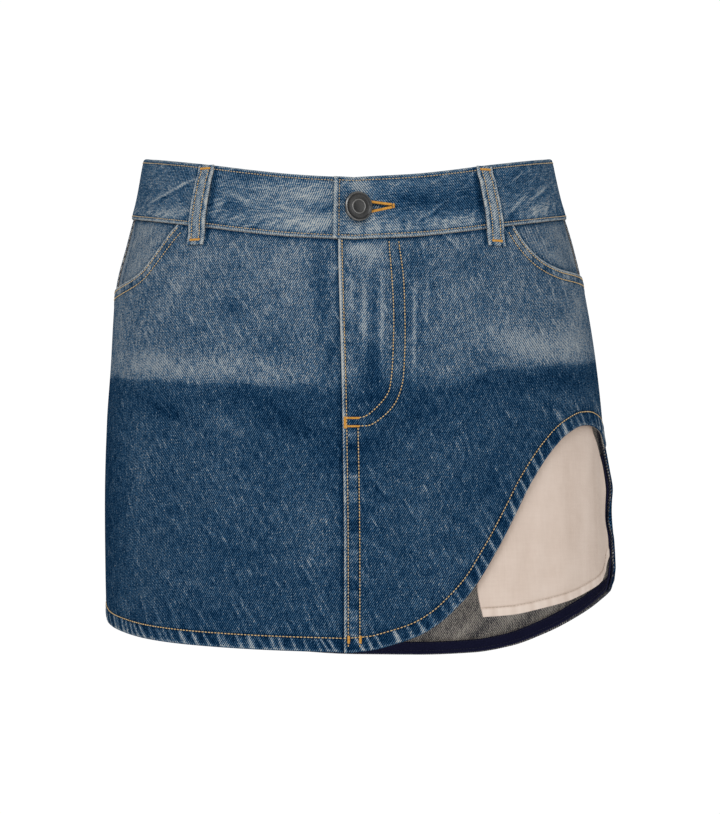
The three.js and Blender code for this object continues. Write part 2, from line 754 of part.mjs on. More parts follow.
add('waistband', fromSolid(toSolid(waistband()).subtract(toSolid(buttonholeCutter()))), materials.faded);
add('front_panel_right', frontRight(), materials.denim);
add('front_panel_left', frontLeft(), materials.denim);
add('back_panel_left', panel(backLeftSpec), materials.denim);
add('back_panel_right', panel(backRightSpec), materials.denim);
add('pocket_facing_left', facing(1, pocketLeft, POCKET_LEFT[0].angle), materials.faded);
add('pocket_facing_right', facing(-1, pocketRight, POCKET_RIGHT[0].angle), materials.faded);
add('pocket_bag_left', pocketBag(1), materials.cotton);
add('pocket_bag_right', pocketBag(-1), materials.cotton);
add('hem_tape', hemTape(), materials.tape);
add('edge_tape', edgeTape(), materials.tape);
add('button', button(), materials.metal);
for (const [place, angle] of Object.entries(LOOP_ANGLES)) {
  add(`belt_loop_${place}`, beltLoop(angle), materials.faded);
}

export default skirt;
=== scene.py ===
import math

import bmesh
import bpy
import numpy as np
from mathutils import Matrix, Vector


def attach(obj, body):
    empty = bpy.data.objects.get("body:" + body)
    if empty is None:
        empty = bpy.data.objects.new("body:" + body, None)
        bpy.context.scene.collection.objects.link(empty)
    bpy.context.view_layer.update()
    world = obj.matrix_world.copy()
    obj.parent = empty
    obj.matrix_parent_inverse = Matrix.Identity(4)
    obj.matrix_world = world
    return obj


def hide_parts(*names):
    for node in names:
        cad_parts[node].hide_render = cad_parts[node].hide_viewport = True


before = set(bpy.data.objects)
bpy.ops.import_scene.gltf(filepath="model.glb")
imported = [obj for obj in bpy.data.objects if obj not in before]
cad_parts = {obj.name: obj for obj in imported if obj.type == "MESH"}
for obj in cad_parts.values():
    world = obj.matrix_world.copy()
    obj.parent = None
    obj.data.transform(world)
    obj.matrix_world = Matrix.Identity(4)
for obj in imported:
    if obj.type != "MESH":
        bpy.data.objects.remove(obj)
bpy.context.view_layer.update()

MM = 0.001

# Cloth, hems and seams, as in the solids.
DENIM = 1.3
HEM_THICK = 2.6
HEM_WIDTH = 10
COTTON = 1.6
GAP = 0.3
LAYER_GAP = 0.35
BAND_HEIGHT = 42.3
BAND_OUT = 1
BAND_THICK = 3
LAP_END = -5
UNDERLAP_END = 372.5
LAP_RISE = 1.8
UNDERLAP_DIP = 1.5
SIDE_SEAM = 90.5
SEAM_HALF_GAP = 0.02
FLY_UNDERLAP_END = 6
UNDERLAP_START = -1.5
LAP_COLUMN = 6.4
LAP_FADE = 4
FLY_RISE = DENIM + LAYER_GAP
TAPE_THICK = 1
TAPE_INSET = 0.6
TAPE_EASE = 0.1
TAPE_ROWS = (HEM_WIDTH - TAPE_INSET, 9.2, 8.9, 8.2, 7, 6, 5, 4.2, 3.4, 2.6, 1.8, 1.1, 0.8, TAPE_INSET)
TAPE_STEEPEST = 1.35
EDGE_TAPE_COLUMNS = (0.3, 0.36, 0.5, 0.8, 1.3, 1.9, 2.5, 3.1, 3.6, 4.05, 4.3, 4.44, 4.5)
EDGE_TAPE_ENDS = (-206.5, -279)
EDGE_TAPE_STEPS = 46

# Height, then half width to the left and right, then half depth to the front and back.
BODY = [
    (8, 136.2, 144.4, 100, 100),
    (0, 138, 146.6, 100.5, 101),
    (-28, 144.2, 151.7, 103, 104.5),
    (-58, 153.2, 159.2, 105.5, 109),
    (-91, 161, 167, 108, 116),
    (-144, 169.5, 170.2, 111, 126),
    (-186, 173.9, 172.9, 112, 129),
    (-238, 177.6, 174, 112, 128),
    (-294, 180.1, 173.3, 111, 124),
    (-352, 180.6, 170.8, 110, 120),
]

# Edges of the pieces: angle and height.
WAIST = [
    (0, -24.3), (15, -21.8), (27, -18), (40, -13.1), (58, -7.2), (70, -3.9), (90, 0), (140, -3), (180, -4),
]
HEM_FRONT_RIGHT = [
    (-91, -318), (-87, -320.5), (-80, -325), (-71, -329), (-55, -334.8), (-40, -338.4), (-20, -341.5),
    (6, -343.8),
]
ARCH = [
    (-4, -343.6), (3.6, -341.7), (8, -338.3), (13.4, -332.9), (18.5, -324), (23.7, -310), (27.4, -297.8),
    (32.4, -276), (37.8, -251), (42.6, -230), (49.4, -209.1), (56.6, -195.6), (64.5, -189.1), (69.3, -188.4),
    (76, -190.2), (84, -194.5), (91, -203),
]
HEM_BACK = [
    (90.5, -289), (91.5, -296), (94, -301.5), (98, -304.3), (104, -308.5), (117, -320.3), (131, -333.6),
    (141, -342.1), (151, -347), (165, -348.8), (180, -348.5), (200, -344.5), (218, -340), (243, -330),
    (256, -323.5), (269.5, -318),
]
POCKET_LEFT = [
    (45.8, -53.9), (47.3, -60.5), (49.4, -67), (51.7, -72), (54.3, -75.7), (57.2, -78.4), (60.6, -80.3),
    (65, -81.7), (75, -82.4), (91, -83.2),
]
POCKET_RIGHT = [
    (49.8, -52.6), (52, -57.5), (53.8, -62.9), (56.1, -69.8), (58.5, -76.3), (61.3, -82.2), (65, -86),
    (70, -88.6), (78, -91), (91, -92.5),
]
FLY_EDGE = [(-345, -2.1), (-281, -2.1), (-184, -2.5), (-66, -3.7)]
EDGE_FLARE = [
    (-322, 0), (-300, 0.6), (-292, 2), (-276, 3.1), (-266, 3), (-252, 1.1), (-244, 2), (-230, 4.1),
    (-214, 2.5), (-201, 1.2), (-190, 0),
]
FLARE_FROM = 107
FLARE_FRONT = 84

# Soft creases, the same as in the solids: angle, height, half length, half width, depth, slope.
CREASES = [
    (-14, -196, 34, 13, 1.2, 12),
    (16, -205, 30, 13, 1, -14),
    (-52, -262, 62, 17, 1.9, 62),
    (-27, -286, 46, 15, 1.3, 70),
    (-71, -205, 50, 16, -1.3, 80),
    (24, -262, 40, 14, 1.1, -66),
    (58, -142, 42, 16, 1.3, -28),
    (-62, -134, 44, 17, 1.2, 24),
    (158, -322, 42, 13, 2.2, 58),
    (147, -300, 46, 13, -1.8, 62),
    (125, -255, 60, 18, 2, 75),
    (112, -170, 44, 16, 1.2, 30),
    (205, -300, 50, 16, 2.1, -68),
    (232, -268, 58, 18, 1.9, -76),
    (248, -160, 40, 16, 1.3, -26),
    (180, -118, 46, 15, 1.1, 6),
]
CREASE_ARC = 2.5
CREASE_TOP = -108
CREASE_FULL = -142

# Pocket bags and facings.
BAG_TOP_DROP = 3
BAG_EDGES = [
    (-322, 29.8, 88.3), (-298, 28.2, 88.3), (-277, 28, 88.3), (-217, 27.5, 87.6), (-204, 27.4, 84),
    (-190, 27.3, 75.5), (-160, 27.2, 73), (-55, 27, 74),
]
BAG_BOTTOM = [
    (29.7, -319.7), (37, -318.3), (45.4, -314.6), (56, -309.2), (68, -301.4), (78, -294.5), (84, -288.5),
    (88.3, -278),
]
BAG_OFFSET = -3.8
BAG_WAVE = 0.35
BAG_SEAM = 6
# Soft folds of the bags: angle, height, half length, half width, depth, slope.
BAG_FOLDS = [
    (47, -250, 60, 6, 0.5, 84),
    (58, -232, 50, 5, -0.45, 92),
    (66, -262, 44, 5, 0.5, 86),
    (74, -240, 46, 4, -0.5, 88),
    (40, -290, 26, 5, -0.4, 70),
    (52, -296, 24, 6, 0.45, 20),
    (70, -212, 24, 5, 0.4, 60),
    (84, -250, 50, 3, 0.4, 90),
]
FACING_UNDER = 14
FACING_LEAD = 5
FACING_THICK = 1.2
FACING_SIDE = SIDE_SEAM - 0.2
GAPE = 2.6

# Belt loops: middles, width, thickness, and the strap's way down the band (down, out).
LOOP_ANGLES = {
    "front_right": -41.5,
    "front_left": 38.2,
    "back_left": 122,
    "back_centre": 180,
    "back_right": 238,
}
LOOP_WIDTH = 12.3
LOOP_THICK = 1.8
LOOP_PATH = [
    (0.4, BAND_OUT + 0.35), (5.5, BAND_OUT + 0.35), (11, BAND_OUT + 1.7), (24, BAND_OUT + 2.3),
    (36, BAND_OUT + 1.7), (43.4, BAND_OUT + 0.45), (46.8, 0.6), (55, 0.35),
]

# Button and buttonhole.
BUTTON_ANGLE = 1.1
BUTTON_Z = -45
BUTTON_RADIUS = 10.15
BUTTON_TURN = 25
BUTTON_STAND = 7.7
SHANK_RADIUS = 3
BUTTONHOLE = [(-4.2, 0.5), (-3.2, 2.9), (0, 4.2), (4, 4), (8.5, 2.8), (14, 1.8), (19, 0.9), (23, 0.3)]
BUTTONHOLE_RISE = 0.05

# Rows of stitches on the fly: angle and height.
FLY_INNER = [
    (8.7, -67.6), (9.3, -112.2), (8.9, -143.2), (8.0, -166.7), (4.9, -180.1), (1.8, -186.4), (-1.9, -187.2),
]
FLY_OUTER = [
    (11.2, -67.5), (12.0, -97.8), (11.9, -124.3), (11.2, -158.6), (9.7, -174.1), (6.2, -186.4), (2.8, -192.1),
    (-2.2, -192.3),
]

# Heights between which the fly's edge runs out into the centre-front seam.
FLY_END = (-186, -192)

# Height of the line between the washed upper part and the dark lower part, and how soft it is.
DYE_LINE = [
    (-180, -151), (-81.3, -154.6), (-46.7, -160), (-29.5, -163.6), (-3.1, -165.4), (10.4, -163.5), (24, -159),
    (35, -153.5), (55.2, -147.8), (82.4, -143.5), (180, -151),
]
DYE_SOFT = [(-180, 2), (-60, 1.3), (-22, 2), (-8, 6), (8, 11), (24, 10), (40, 4), (60, 2.4), (180, 2)]

# Painted shading of folds on the wrong side of the back, as light and dark stripes of tone with no relief, in
# the same columns.
INSIDE_FOLD_SHADING = [
    (154, -333, 14, 2.6, 0.42, -48),
    (149, -331, 14, 2.6, -0.42, -48),
    (141, -322, 16, 3, 0.36, -40),
    (136, -322, 15, 3, -0.34, -42),
    (163, -336, 13, 3, -0.34, -60),
    (127, -312, 16, 3, 0.28, -44),
    (119, -309, 15, 3, -0.30, -50),
    (172, -330, 14, 4, 0.24, -66),
    (200, -318, 20, 5, -0.24, 40),
    (222, -322, 18, 4, 0.26, 48),
    (238, -312, 18, 4, -0.24, 52),
]
INSIDE_TONE = 0.18

# Tones run from 0, raw indigo, to 1, worn through to the pale weft.
TONE_HIGH = 0.45
TONE_LOW = 0.212
TONE_BAND = 0.46

# Faded and dark places on the panels: angle, height, half length, half width, change of tone, slope.
WASH_AND_PAINTED_CREASES = [
    # Wearer's right panel, above the dye line.
    (-7.5, -100, 40, 6, -0.20, 90),
    (-6, -150, 12, 5, -0.12, 90),
    (-16, -80, 18, 10, 0.12, 20),
    (-13, -108, 24, 7, 0.08, -62),
    (-29, -112, 13, 7, -0.16, 0),
    (-18, -136, 18, 9, -0.12, -10),
    (-42, -82, 18, 9, 0.12, 40),
    (-36, -150, 44, 7, 0.13, -2),
    (-57, -146, 22, 9, 0.17, 0),
    (-74, -122, 26, 12, 0.12, 90),
    (-45, -126, 14, 7, -0.08, -20),
    (-50, -104, 14, 8, 0.06, 30),
    (-3.9, -86, 3.5, 2.5, 0.32, 0),
    (-4.6, -140, 13, 3.5, -0.22, 80),
    # Wearer's right panel, below it.
    # The next four paint creases: a painted shadow, a painted highlight on its ridge, and painted shade
    # deepest beside the fly.
    (-50, -178, 24, 4, -0.20, -21),
    (-30, -190, 22, 7, 0.12, -25),
    (-14.5, -190, 38, 9, -0.15, -33),
    (-5, -205, 16, 8, -0.08, 90),
    (-32, -228, 44, 20, 0.06, -40),
    (-9.5, -259, 34, 14, 0.10, 90),
    (-57, -215, 40, 12, 0.08, 90),
    # Partly darker dye, partly painted shade towards the side.
    (-77, -240, 75, 22, -0.13, 90),
    (-50, -282, 40, 20, 0.04, 70),
    (-30, -320, 60, 8, -0.06, -2),
    # Fly.
    (1.8, -73.8, 11, 5, 0.38, -4),
    (4.2, -81.2, 9, 2.6, 0.28, 50),
    (2.4, -121, 24, 2.1, 0.38, 90),
    (6.5, -119, 30, 1.9, 0.32, 90),
    (4.5, -115, 26, 1.8, -0.12, 90),
    (-0.5, -105, 16, 1.4, 0.20, 90),
    (3.9, -152, 17, 9, -0.36, 90),
    (4, -112, 26, 10, -0.06, 90),
    (5.5, -176, 8, 9, -0.12, 0),
    (10.4, -108, 30, 2, -0.14, 90),
    (10.2, -143, 5, 2, 0.16, 90),
    (-0.4, -154.7, 6, 1.6, 0.22, 20),
    (-0.4, -176, 8, 1.5, 0.20, 70),
    # Wearer's left panel, above the dye line.
    (14.1, -124, 32, 1.5, 0.40, 89),
    (17.2, -112, 22, 1.6, 0.22, 88),
    (15, -80, 9, 6, -0.16, 90),
    (24, -105, 34, 10, 0.05, 80),
    (28, -86, 24, 9, -0.10, 30),
    (45, -134, 22, 9, 0.28, -14),
    (62, -133, 24, 12, 0.22, 0),
    (70, -112, 24, 14, 0.14, 60),
    (33, -128, 22, 10, 0.08, -30),
    (30, -146, 24, 6, -0.06, 0),
    (14, -122, 50, 13, -0.13, 90),
    # Wearer's left panel, below it.
    (55, -158, 44, 7, -0.10, 4),
    (3, -206, 16, 10, -0.10, 0),
    (15, -186, 26, 9, -0.06, 20),
    (16, -238, 44, 18, 0.06, 80),
    (22, -288, 36, 14, 0.05, 60),
    (33, -225, 30, 12, -0.06, 60),
    # Back.
    (150, -112, 52, 26, 0.16, 0),
    (212, -116, 52, 26, 0.16, 0),
    (180, -90, 44, 12, -0.10, 0),
    (128, -146, 40, 9, 0.14, 0),
    (232, -146, 44, 9, 0.15, 0),
    (164, -132, 14, 9, -0.10, 20),
    (200, -86, 16, 9, 0.10, -30),
    (150, -172, 70, 8, -0.10, 2),
    (215, -172, 70, 8, -0.10, -2),
    (150, -250, 56, 24, 0.08, 70),
    (214, -248, 60, 24, 0.08, -70),
    (196, -204, 34, 8, -0.12, -30),
    (136, -214, 30, 8, -0.10, 34),
    (104, -230, 60, 12, -0.07, 90),
]

# Pale scratches, where the cloth was creased while it was washed.
WHISKERS = [
    (-52, -222, 9.6, 0.9, 0.24, -56),
    (-42, -246, 7.8, 0.8, 0.32, -50),
    (-26, -226, 6.6, 0.8, 0.27, -62),
    (-34, -262, 7.2, 0.9, 0.29, -46),
    (-62, -240, 6.6, 0.9, 0.27, -60),
    (-17, -252, 10, 0.8, 0.25, -58),
    (-10, -292, 7.8, 0.9, 0.32, -55),
    (-7, -316, 9.6, 1, 0.24, -56),
    (-37, -318, 9, 1, 0.24, -60),
    (-46, -312, 7.2, 0.9, 0.32, -57),
    (-25, -314, 8.4, 0.9, 0.32, -60),
    (-57, -308, 7.2, 0.9, 0.29, -62),
    (-20, -180, 7.2, 0.9, 0.21, -40),
    (-47, -96, 7.8, 1, 0.27, -52),
    (-28, -104, 6.6, 0.9, 0.21, -56),
    (6, -234, 7.2, 1, 0.32, -52),
    (12, -246, 9, 0.8, 0.25, -60),
    (15, -196, 8, 0.9, 0.27, 58),
    (18, -190, 7, 0.9, 0.21, 48),
    (26, -206, 9, 0.8, 0.21, -70),
    (17, -280, 6.6, 0.9, 0.23, -62),
    (24, -64, 9, 1, 0.34, -40),
    (57, -98, 9, 0.9, 0.25, -70),
    (62, -176, 8, 0.9, 0.29, -68),
    (52, -180, 7, 0.9, 0.25, -66),
    (140, -232, 9, 1, 0.24, -58),
    (163, -262, 7.8, 0.9, 0.29, -54),
    (151, -298, 8.4, 1, 0.32, -60),
    (200, -240, 8.4, 0.9, 0.32, -56),
    (221, -282, 9, 1, 0.24, -60),
    (238, -226, 7.2, 0.9, 0.27, -52),
    (168, -128, 6.6, 0.9, 0.25, -50),
    (205, -96, 6.6, 0.9, 0.25, -56),
    (228, -118, 7.8, 1, 0.27, -48),
]

# Faded and dark places on the waistband, at a distance down from its top.
BAND_WASH = [
    (-14, -22, 26, 15, 0.10, 0),
    (-13, -32, 21, 6, 0.30, -6),
    (-20, -36, 12, 4, 0.20, -8),
    (-7, -30, 9, 6, 0.20, 0),
    (-11, -10.5, 18, 6, 0.18, -4),
    (-22, -17, 30, 10, 0.14, 0),
    (-31.7, -27, 13, 3, -0.20, -10),
    (-29, -5, 16, 4, -0.10, -5),
    (-38, -32, 7, 5, 0.14, 60),
    (-58, -36, 26, 4.5, 0.24, 2),
    (-66, -26, 14, 6, -0.08, 0),
    (-50, -8, 14, 4, -0.10, 0),
    (-56, -19, 16, 7, 0.06, 40),
    (-7, -23, 5, 2.2, -0.26, 62),
    (1.6, -6.4, 10, 5.5, 0.36, -28),
    (-1.5, -34, 7, 6, 0.22, 0),
    (5.3, -32, 12, 6, 0.16, 0),
    (14, -18, 18, 7, -0.20, 0),
    (24, -20, 22, 8, -0.17, 0),
    (33, -22, 12, 12, -0.16, 0),
    (20, -36, 46, 4.5, 0.22, 2),
    (50, -10, 26, 8, -0.08, 0),
    (61, -34, 22, 5, 0.18, 0),
    (55, -16, 16, 8, -0.06, 0),
    (112, -20, 40, 10, 0.10, 0),
    (136, -34, 22, 5, 0.18, 0),
    (150, -12, 20, 5, -0.12, 0),
    (166, -30, 24, 6, 0.14, 0),
    (194, -20, 30, 8, 0.12, 0),
    (206, -34, 24, 5, 0.18, 0),
    (222, -14, 20, 6, -0.12, 0),
    (246, -34, 26, 5, 0.16, 0),
    (262, -16, 30, 9, -0.10, 0),
]
BAND_WHISKERS = [
    (21, -25.5, 6, 0.9, 0.44, 38),
    (17, -30, 4, 0.8, 0.28, 50),
    (14, -34, 3.5, 0.8, 0.26, 70),
    (24, -34, 4, 0.9, 0.26, 80),
    (28, -35, 4, 0.9, 0.26, 76),
    (32, -35, 4, 0.8, 0.22, 80),
    (48.5, -29, 11, 1.1, 0.46, 35),
    (61.4, -22.6, 16, 1.2, 0.38, 21),
    (64, -33, 6, 1, 0.24, 40),
    (57, -36, 5, 1, 0.22, 60),
    (-54, -19.6, 14, 1.2, 0.36, 33),
    (-49, -14, 9, 1, 0.24, 30),
    (-60, -25, 8, 1, 0.24, 25),
    (-38, -29, 8, 1.1, 0.34, 42),
    (-34, -34, 5, 1, 0.28, 55),
    (-30, -33, 6, 1, 0.26, 45),
    (-25, -36, 5, 1, 0.26, 60),
    (-21, -30, 9, 1.2, 0.28, 14),
    (-16, -24, 12, 1.2, 0.24, -8),
    (-12, -15, 14, 1.2, 0.20, -6),
    (-25, -12, 12, 1.1, 0.20, 4),
    (-30, -20, 12, 1.3, 0.22, -12),
    (-10, -37, 5, 1, 0.24, 70),
    (128, -20, 10, 1, 0.30, 40),
    (144, -30, 8, 1, 0.26, 56),
    (158, -26, 9, 0.9, 0.28, -36),
    (172, -16, 9, 1, 0.24, 20),
    (206, -18, 11, 1, 0.30, 24),
    (216, -30, 8, 1, 0.26, -48),
    (248, -26, 9, 0.9, 0.28, 52),
]

# Heading of the puckers in every hem, in radians on the flat cloth.
ROPING_WAY = math.radians(119)

# Painted shadow beside a belt loop, as a change of tone, and millimetres round the waistband in a degree.
LOOP_SHADE = -0.36
DEGREE_AT_BAND = 2.3

# Grid of the cloth.
REFERENCE_Z = -230
CELL = 1.7
ROW = 2.1
STEEPEST = 4.0
FINE_CELL = 0.8
EDGE_STEPS = (0, 0.12, 0.35, 0.7, 1.15, 1.7)
HEM_ROWS = (2.6, 3.5, 4.4, 5.3, 6.2, 7.1, 8.0, 8.9, 9.8, 10.7, 11.7, 12.8, 14.2)

# Distances of the stitch rows from their edges, and millimetres in a degree where the rows run upright.
STITCH_ROW = 9.5
SEAM_STITCH = 2.7
SEAM_SECOND = 10.0
MOUTH_ROWS = (2.1, 6.8)
BACK_ROWS = (2.6, 9.2)
FREE_EDGE_ROW = 8.2
BAND_TOP_ROW = 2.6
BAND_BOTTOM_ROW = 2.4
LAP_ROW = 3.8
LOOP_ROW = 2.9
DEGREE_AT_FLY = 2.95
DEGREE_AT_SIDE = 1.95
DEGREE_AT_LAP = 2.6

# Stitches: share of the pitch that the thread fills, how deep its ends dip, and the zigzag's step in a tack.
STITCH_FILL = 0.74
STITCH_SINK = 0.9
TACK_SINK = 0.6
TACK_STEP = 0.42


def smooth(start, end, value):
    t = np.clip((value - start) / (end - start), 0, 1)
    return t * t * (3 - 2 * t)


def bump(value, wide):
    return np.exp(-((value / wide) ** 2))


def curve(rows, across=0, column=1):
    """A curve with no overshoot through the rows of a table, flat beyond its ends."""
    xs = np.array([row[across] for row in rows], float)
    ys = np.array([row[column] for row in rows], float)
    if xs[0] > xs[-1]:
        xs, ys = xs[::-1], ys[::-1]
    slopes = np.diff(ys) / np.diff(xs)
    product, total = slopes[:-1] * slopes[1:], slopes[:-1] + slopes[1:]
    bends = np.where(product > 0, 2 * product / np.where(product > 0, total, 1), 0)
    tangents = np.concatenate([[slopes[0]], bends, [slopes[-1]]])

    def at(x):
        x = np.clip(np.asarray(x, float), xs[0], xs[-1])
        i = np.clip(np.searchsorted(xs, x, side="right") - 1, 0, len(xs) - 2)
        span = xs[i + 1] - xs[i]
        t = (x - xs[i]) / span
        rise = (ys[i + 1] - ys[i]) * (3 - 2 * t) * t * t
        bend = span * t * (1 - t) * ((1 - t) * tangents[i] - t * tangents[i + 1])
        return ys[i] + rise + bend

    return at


half_left, half_right, half_front, half_back = (curve(BODY, 0, column) for column in (1, 2, 3, 4))
waist_curve = curve(WAIST)
hem_front_right = curve(HEM_FRONT_RIGHT)
arch = curve(ARCH)
hem_back = curve(HEM_BACK)
pocket_left = curve(POCKET_LEFT)
pocket_right = curve(POCKET_RIGHT)
fly_edge = curve(FLY_EDGE)
edge_flare = curve(EDGE_FLARE)
bag_front = curve(BAG_EDGES, 0, 1)
bag_side = curve(BAG_EDGES, 0, 2)
bag_bottom = curve(BAG_BOTTOM)
dye_line = curve(DYE_LINE)
dye_soft = curve(DYE_SOFT)


def wrapped(angle):
    """The angle brought to between -180 and 180 degrees."""
    return (np.asarray(angle, float) + 180) % 360 - 180


def band_top(angle):
    return waist_curve(np.abs(wrapped(angle)))


def band_bottom(angle):
    return band_top(angle) - BAND_HEIGHT


def seam_below_band(angle):
    return band_bottom(angle) - GAP


def creases(angle, z):
    depth = 0
    for middle, height, long, wide, deep, slope in CREASES:
        across = wrapped(angle - middle) * CREASE_ARC
        up = z - height
        slope = math.radians(slope)
        along = across * math.cos(slope) + up * math.sin(slope)
        aside = up * math.cos(slope) - across * math.sin(slope)
        depth = depth + deep * bump(along, long) * bump(aside, wide)
    return depth * smooth(CREASE_TOP, CREASE_FULL, z)


def flare(angle, z):
    side = np.mod(angle, 360)
    reach = smooth(FLARE_FROM, SIDE_SEAM, side) * smooth(FLARE_FRONT, SIDE_SEAM, side)
    return edge_flare(z) * reach


def cloth(angle, z, offset):
    """Points on the skirt, or at an offset out from it, in millimetres."""
    angle, z = np.broadcast_arrays(np.asarray(angle, float), np.asarray(z, float))
    sine, cosine = np.sin(np.radians(angle)), np.cos(np.radians(angle))
    wide = np.where(sine > 0, half_left(z), half_right(z))
    deep = np.where(cosine > 0, half_front(z), half_back(z))
    out = offset + flare(angle, z) - creases(angle, z)
    return np.stack([(wide + out) * sine, -(deep + out) * cosine, z], -1)


# Length round the skirt from the centre front, as a table that is read between its rows.
ARC_ANGLES = np.arange(-100, 381, 0.5)
ARC_HEIGHTS = np.arange(-360, 19, 6.0)


def arc_table():
    angle, z = np.meshgrid(ARC_ANGLES, ARC_HEIGHTS, indexing="ij")
    steps = np.linalg.norm(np.diff(cloth(angle, z, 0), axis=0), axis=2)
    table = np.vstack([np.zeros(len(ARC_HEIGHTS)), np.cumsum(steps, axis=0)])
    return table - table[np.searchsorted(ARC_ANGLES, 0)]


ARC = arc_table()


def arc(angle, z):
    angle, z = np.broadcast_arrays(np.asarray(angle, float), np.asarray(z, float))
    x = np.clip((angle - ARC_ANGLES[0]) / 0.5, 0, len(ARC_ANGLES) - 1.001)
    y = np.clip((z - ARC_HEIGHTS[0]) / 6.0, 0, len(ARC_HEIGHTS) - 1.001)
    i, j = x.astype(int), y.astype(int)
    s, t = x - i, y - j
    low = ARC[i, j] * (1 - s) + ARC[i + 1, j] * s
    high = ARC[i, j + 1] * (1 - s) + ARC[i + 1, j + 1] * s
    return low * (1 - t) + high * t


def flat_line(angles, heights):
    """A line on the flat cloth, from angles and heights."""
    return np.stack([arc(angles, heights), np.broadcast_to(heights, np.shape(angles))], -1)


def edge_line(edge, start, end, step=0.7):
    angles = np.arange(start, end + step, step).clip(start, end)
    angles = np.unique(angles)
    return flat_line(angles, edge(angles))


def table_line(rows, step=2.0):
    """A smooth line through rows of angle and height."""
    points = np.array(rows, float)
    flat = flat_line(points[:, 0], points[:, 1])
    along = np.concatenate([[0], np.cumsum(np.linalg.norm(np.diff(flat, axis=0), axis=1))])
    steps = np.linspace(0, along[-1], max(2, int(along[-1] / step)))
    angle = curve(list(zip(along, points[:, 0])))(steps)
    height = curve(list(zip(along, points[:, 1])))(steps)
    return angle, height


def nearest(x, y, line):
    """Distance of points on the flat cloth to a line, and how far along the line they lie."""
    shape = np.shape(x)
    points = np.stack([np.ravel(x), np.ravel(y)], 1)
    start, way = line[:-1], np.diff(line, axis=0)
    length = np.maximum(np.linalg.norm(way, axis=1), 1e-9)
    before = np.concatenate([[0], np.cumsum(length)[:-1]])
    distance, along = np.empty(len(points)), np.empty(len(points))
    chunk = 3000
    for first in range(0, len(points), chunk):
        part = points[first:first + chunk, None, :] - start
        t = np.clip((part * way).sum(2) / length**2, 0, 1)
        off = np.linalg.norm(part - way * t[..., None], axis=2)
        best = off.argmin(1)
        rows = np.arange(len(best))
        distance[first:first + chunk] = off[rows, best]
        along[first:first + chunk] = before[best] + t[rows, best] * length[best]
    return distance.reshape(shape), along.reshape(shape)


def patches(table, x, y, place, shade=0):
    """Sum of soft patches on the flat cloth. place turns a patch's angle and height into flat ones.

    shade is the share of a patch's change that the cloth just below it takes the other way.
    """
    total = np.zeros(np.shape(x))
    for angle, height, long, wide, amount, slope in table:
        px, py = place(angle, height)
        across, up = x - px, y - py
        turn = math.radians(slope)
        along = across * math.cos(turn) + up * math.sin(turn)
        aside = up * math.cos(turn) - across * math.sin(turn)
        below = shade * bump(aside + 2.4 * wide, 1.5 * wide)
        total += amount * bump(along, long) * (bump(aside, wide) - below)
    return total


def skirt_place(angle, height):
    return float(arc(angle, height)), height


class Roping:
    """Puckers across a hem that twists between its edge and its stitches, and the creases above it."""

    def __init__(self, line, seed, spacing):
        random = np.random.default_rng(seed)
        step = np.diff(line, axis=0)
        along = np.cumsum(np.hypot(step[:, 0], step[:, 1]))
        steps = spacing * random.uniform(0.6, 1.4, int(along[-1] / spacing) + 12)
        self.centre = np.cumsum(steps) - 4 * spacing
        count = len(steps)
        self.wide = random.uniform(0.85, 1.5, count)
        heading = np.interp(self.centre, along, np.unwrap(np.arctan2(step[:, 1], step[:, 0])))
        self.lean = -1 / np.tan(ROPING_WAY - heading) * random.uniform(0.75, 1.25, count)
        self.strength = random.uniform(0.45, 1, count)
        self.flare = random.uniform(0, 0.7, count)
        self.rise = STITCH_ROW + 4 + 20 * random.uniform(0, 1, count) ** 1.7
        self.tail = random.uniform(0.2, 0.9, count)

    def at(self, distance, along):
        """Height of the puckers in the hem, and of the creases above the stitches, from 0 to 1."""
        d, s = distance[..., None], along[..., None]
        spread = self.wide * (1 + self.flare * smooth(STITCH_ROW, 0, d))
        ridge = np.exp(-(((s - self.centre + self.lean * d) / spread) ** 2)) * self.strength
        hem = (ridge * smooth(0.2, 1.4, d) * smooth(STITCH_ROW + 0.6, STITCH_ROW - 0.8, d)).sum(-1)
        start = smooth(STITCH_ROW + 0.3, STITCH_ROW + 1.6, d)
        above = ridge * self.tail * start * smooth(self.rise, STITCH_ROW + 1, d)
        return hem, above.sum(-1)


def hem_look(distance, along, roping):
    """Relief and change of tone near a turned hem."""
    near = distance < 34
    hem, above = np.zeros(distance.shape), np.zeros(distance.shape)
    hem[near], above[near] = roping.at(distance[near], along[near])
    inside = smooth(STITCH_ROW + 0.5, STITCH_ROW - 0.5, distance)
    groove = bump(distance - STITCH_ROW, 0.9)
    relief = inside * (0.30 + 0.5 * hem) + 0.35 * above - 0.35 * groove
    tone = inside * (0.95 * hem - 0.19) + 0.62 * above - 0.30 * groove
    tone += 0.36 * bump(distance - 0.8, 0.8)
    tone -= 0.07 * smooth(STITCH_ROW + 9, STITCH_ROW + 1, distance) * (1 - inside)
    return relief, tone


def seam_look(distance, along, first, second=None, seed=1, ridge=0.5):
    """Relief and change of tone along a folded edge with one or two rows of stitches."""
    phase = np.random.default_rng(seed).uniform(0, 6, 3)
    waver = np.sin(along / 1.25 + phase[0]) * np.sin(along / 3.1 + phase[1])
    waver = waver + 0.6 * np.sin(along / 7.3 + phase[2])
    relief = 0.25 * bump(distance - 1.0, 1.0) - 0.3 * bump(distance - first, 0.8)
    tone = ridge * bump(distance - 0.4, 1.3) * (1 + 0.25 * waver) - 0.32 * bump(distance - first, 0.75)
    last = first
    if second is not None:
        between = smooth(first, first + 1.2, distance) * smooth(second, second - 1.2, distance)
        relief += between * (0.18 + 0.14 * waver) - 0.3 * bump(distance - second, 0.8)
        tone += between * (0.05 + 0.2 * waver) - 0.32 * bump(distance - second, 0.75)
        last = second
    tone += 0.1 * waver * bump(distance - last - 2.5, 2.5)
    return relief, tone


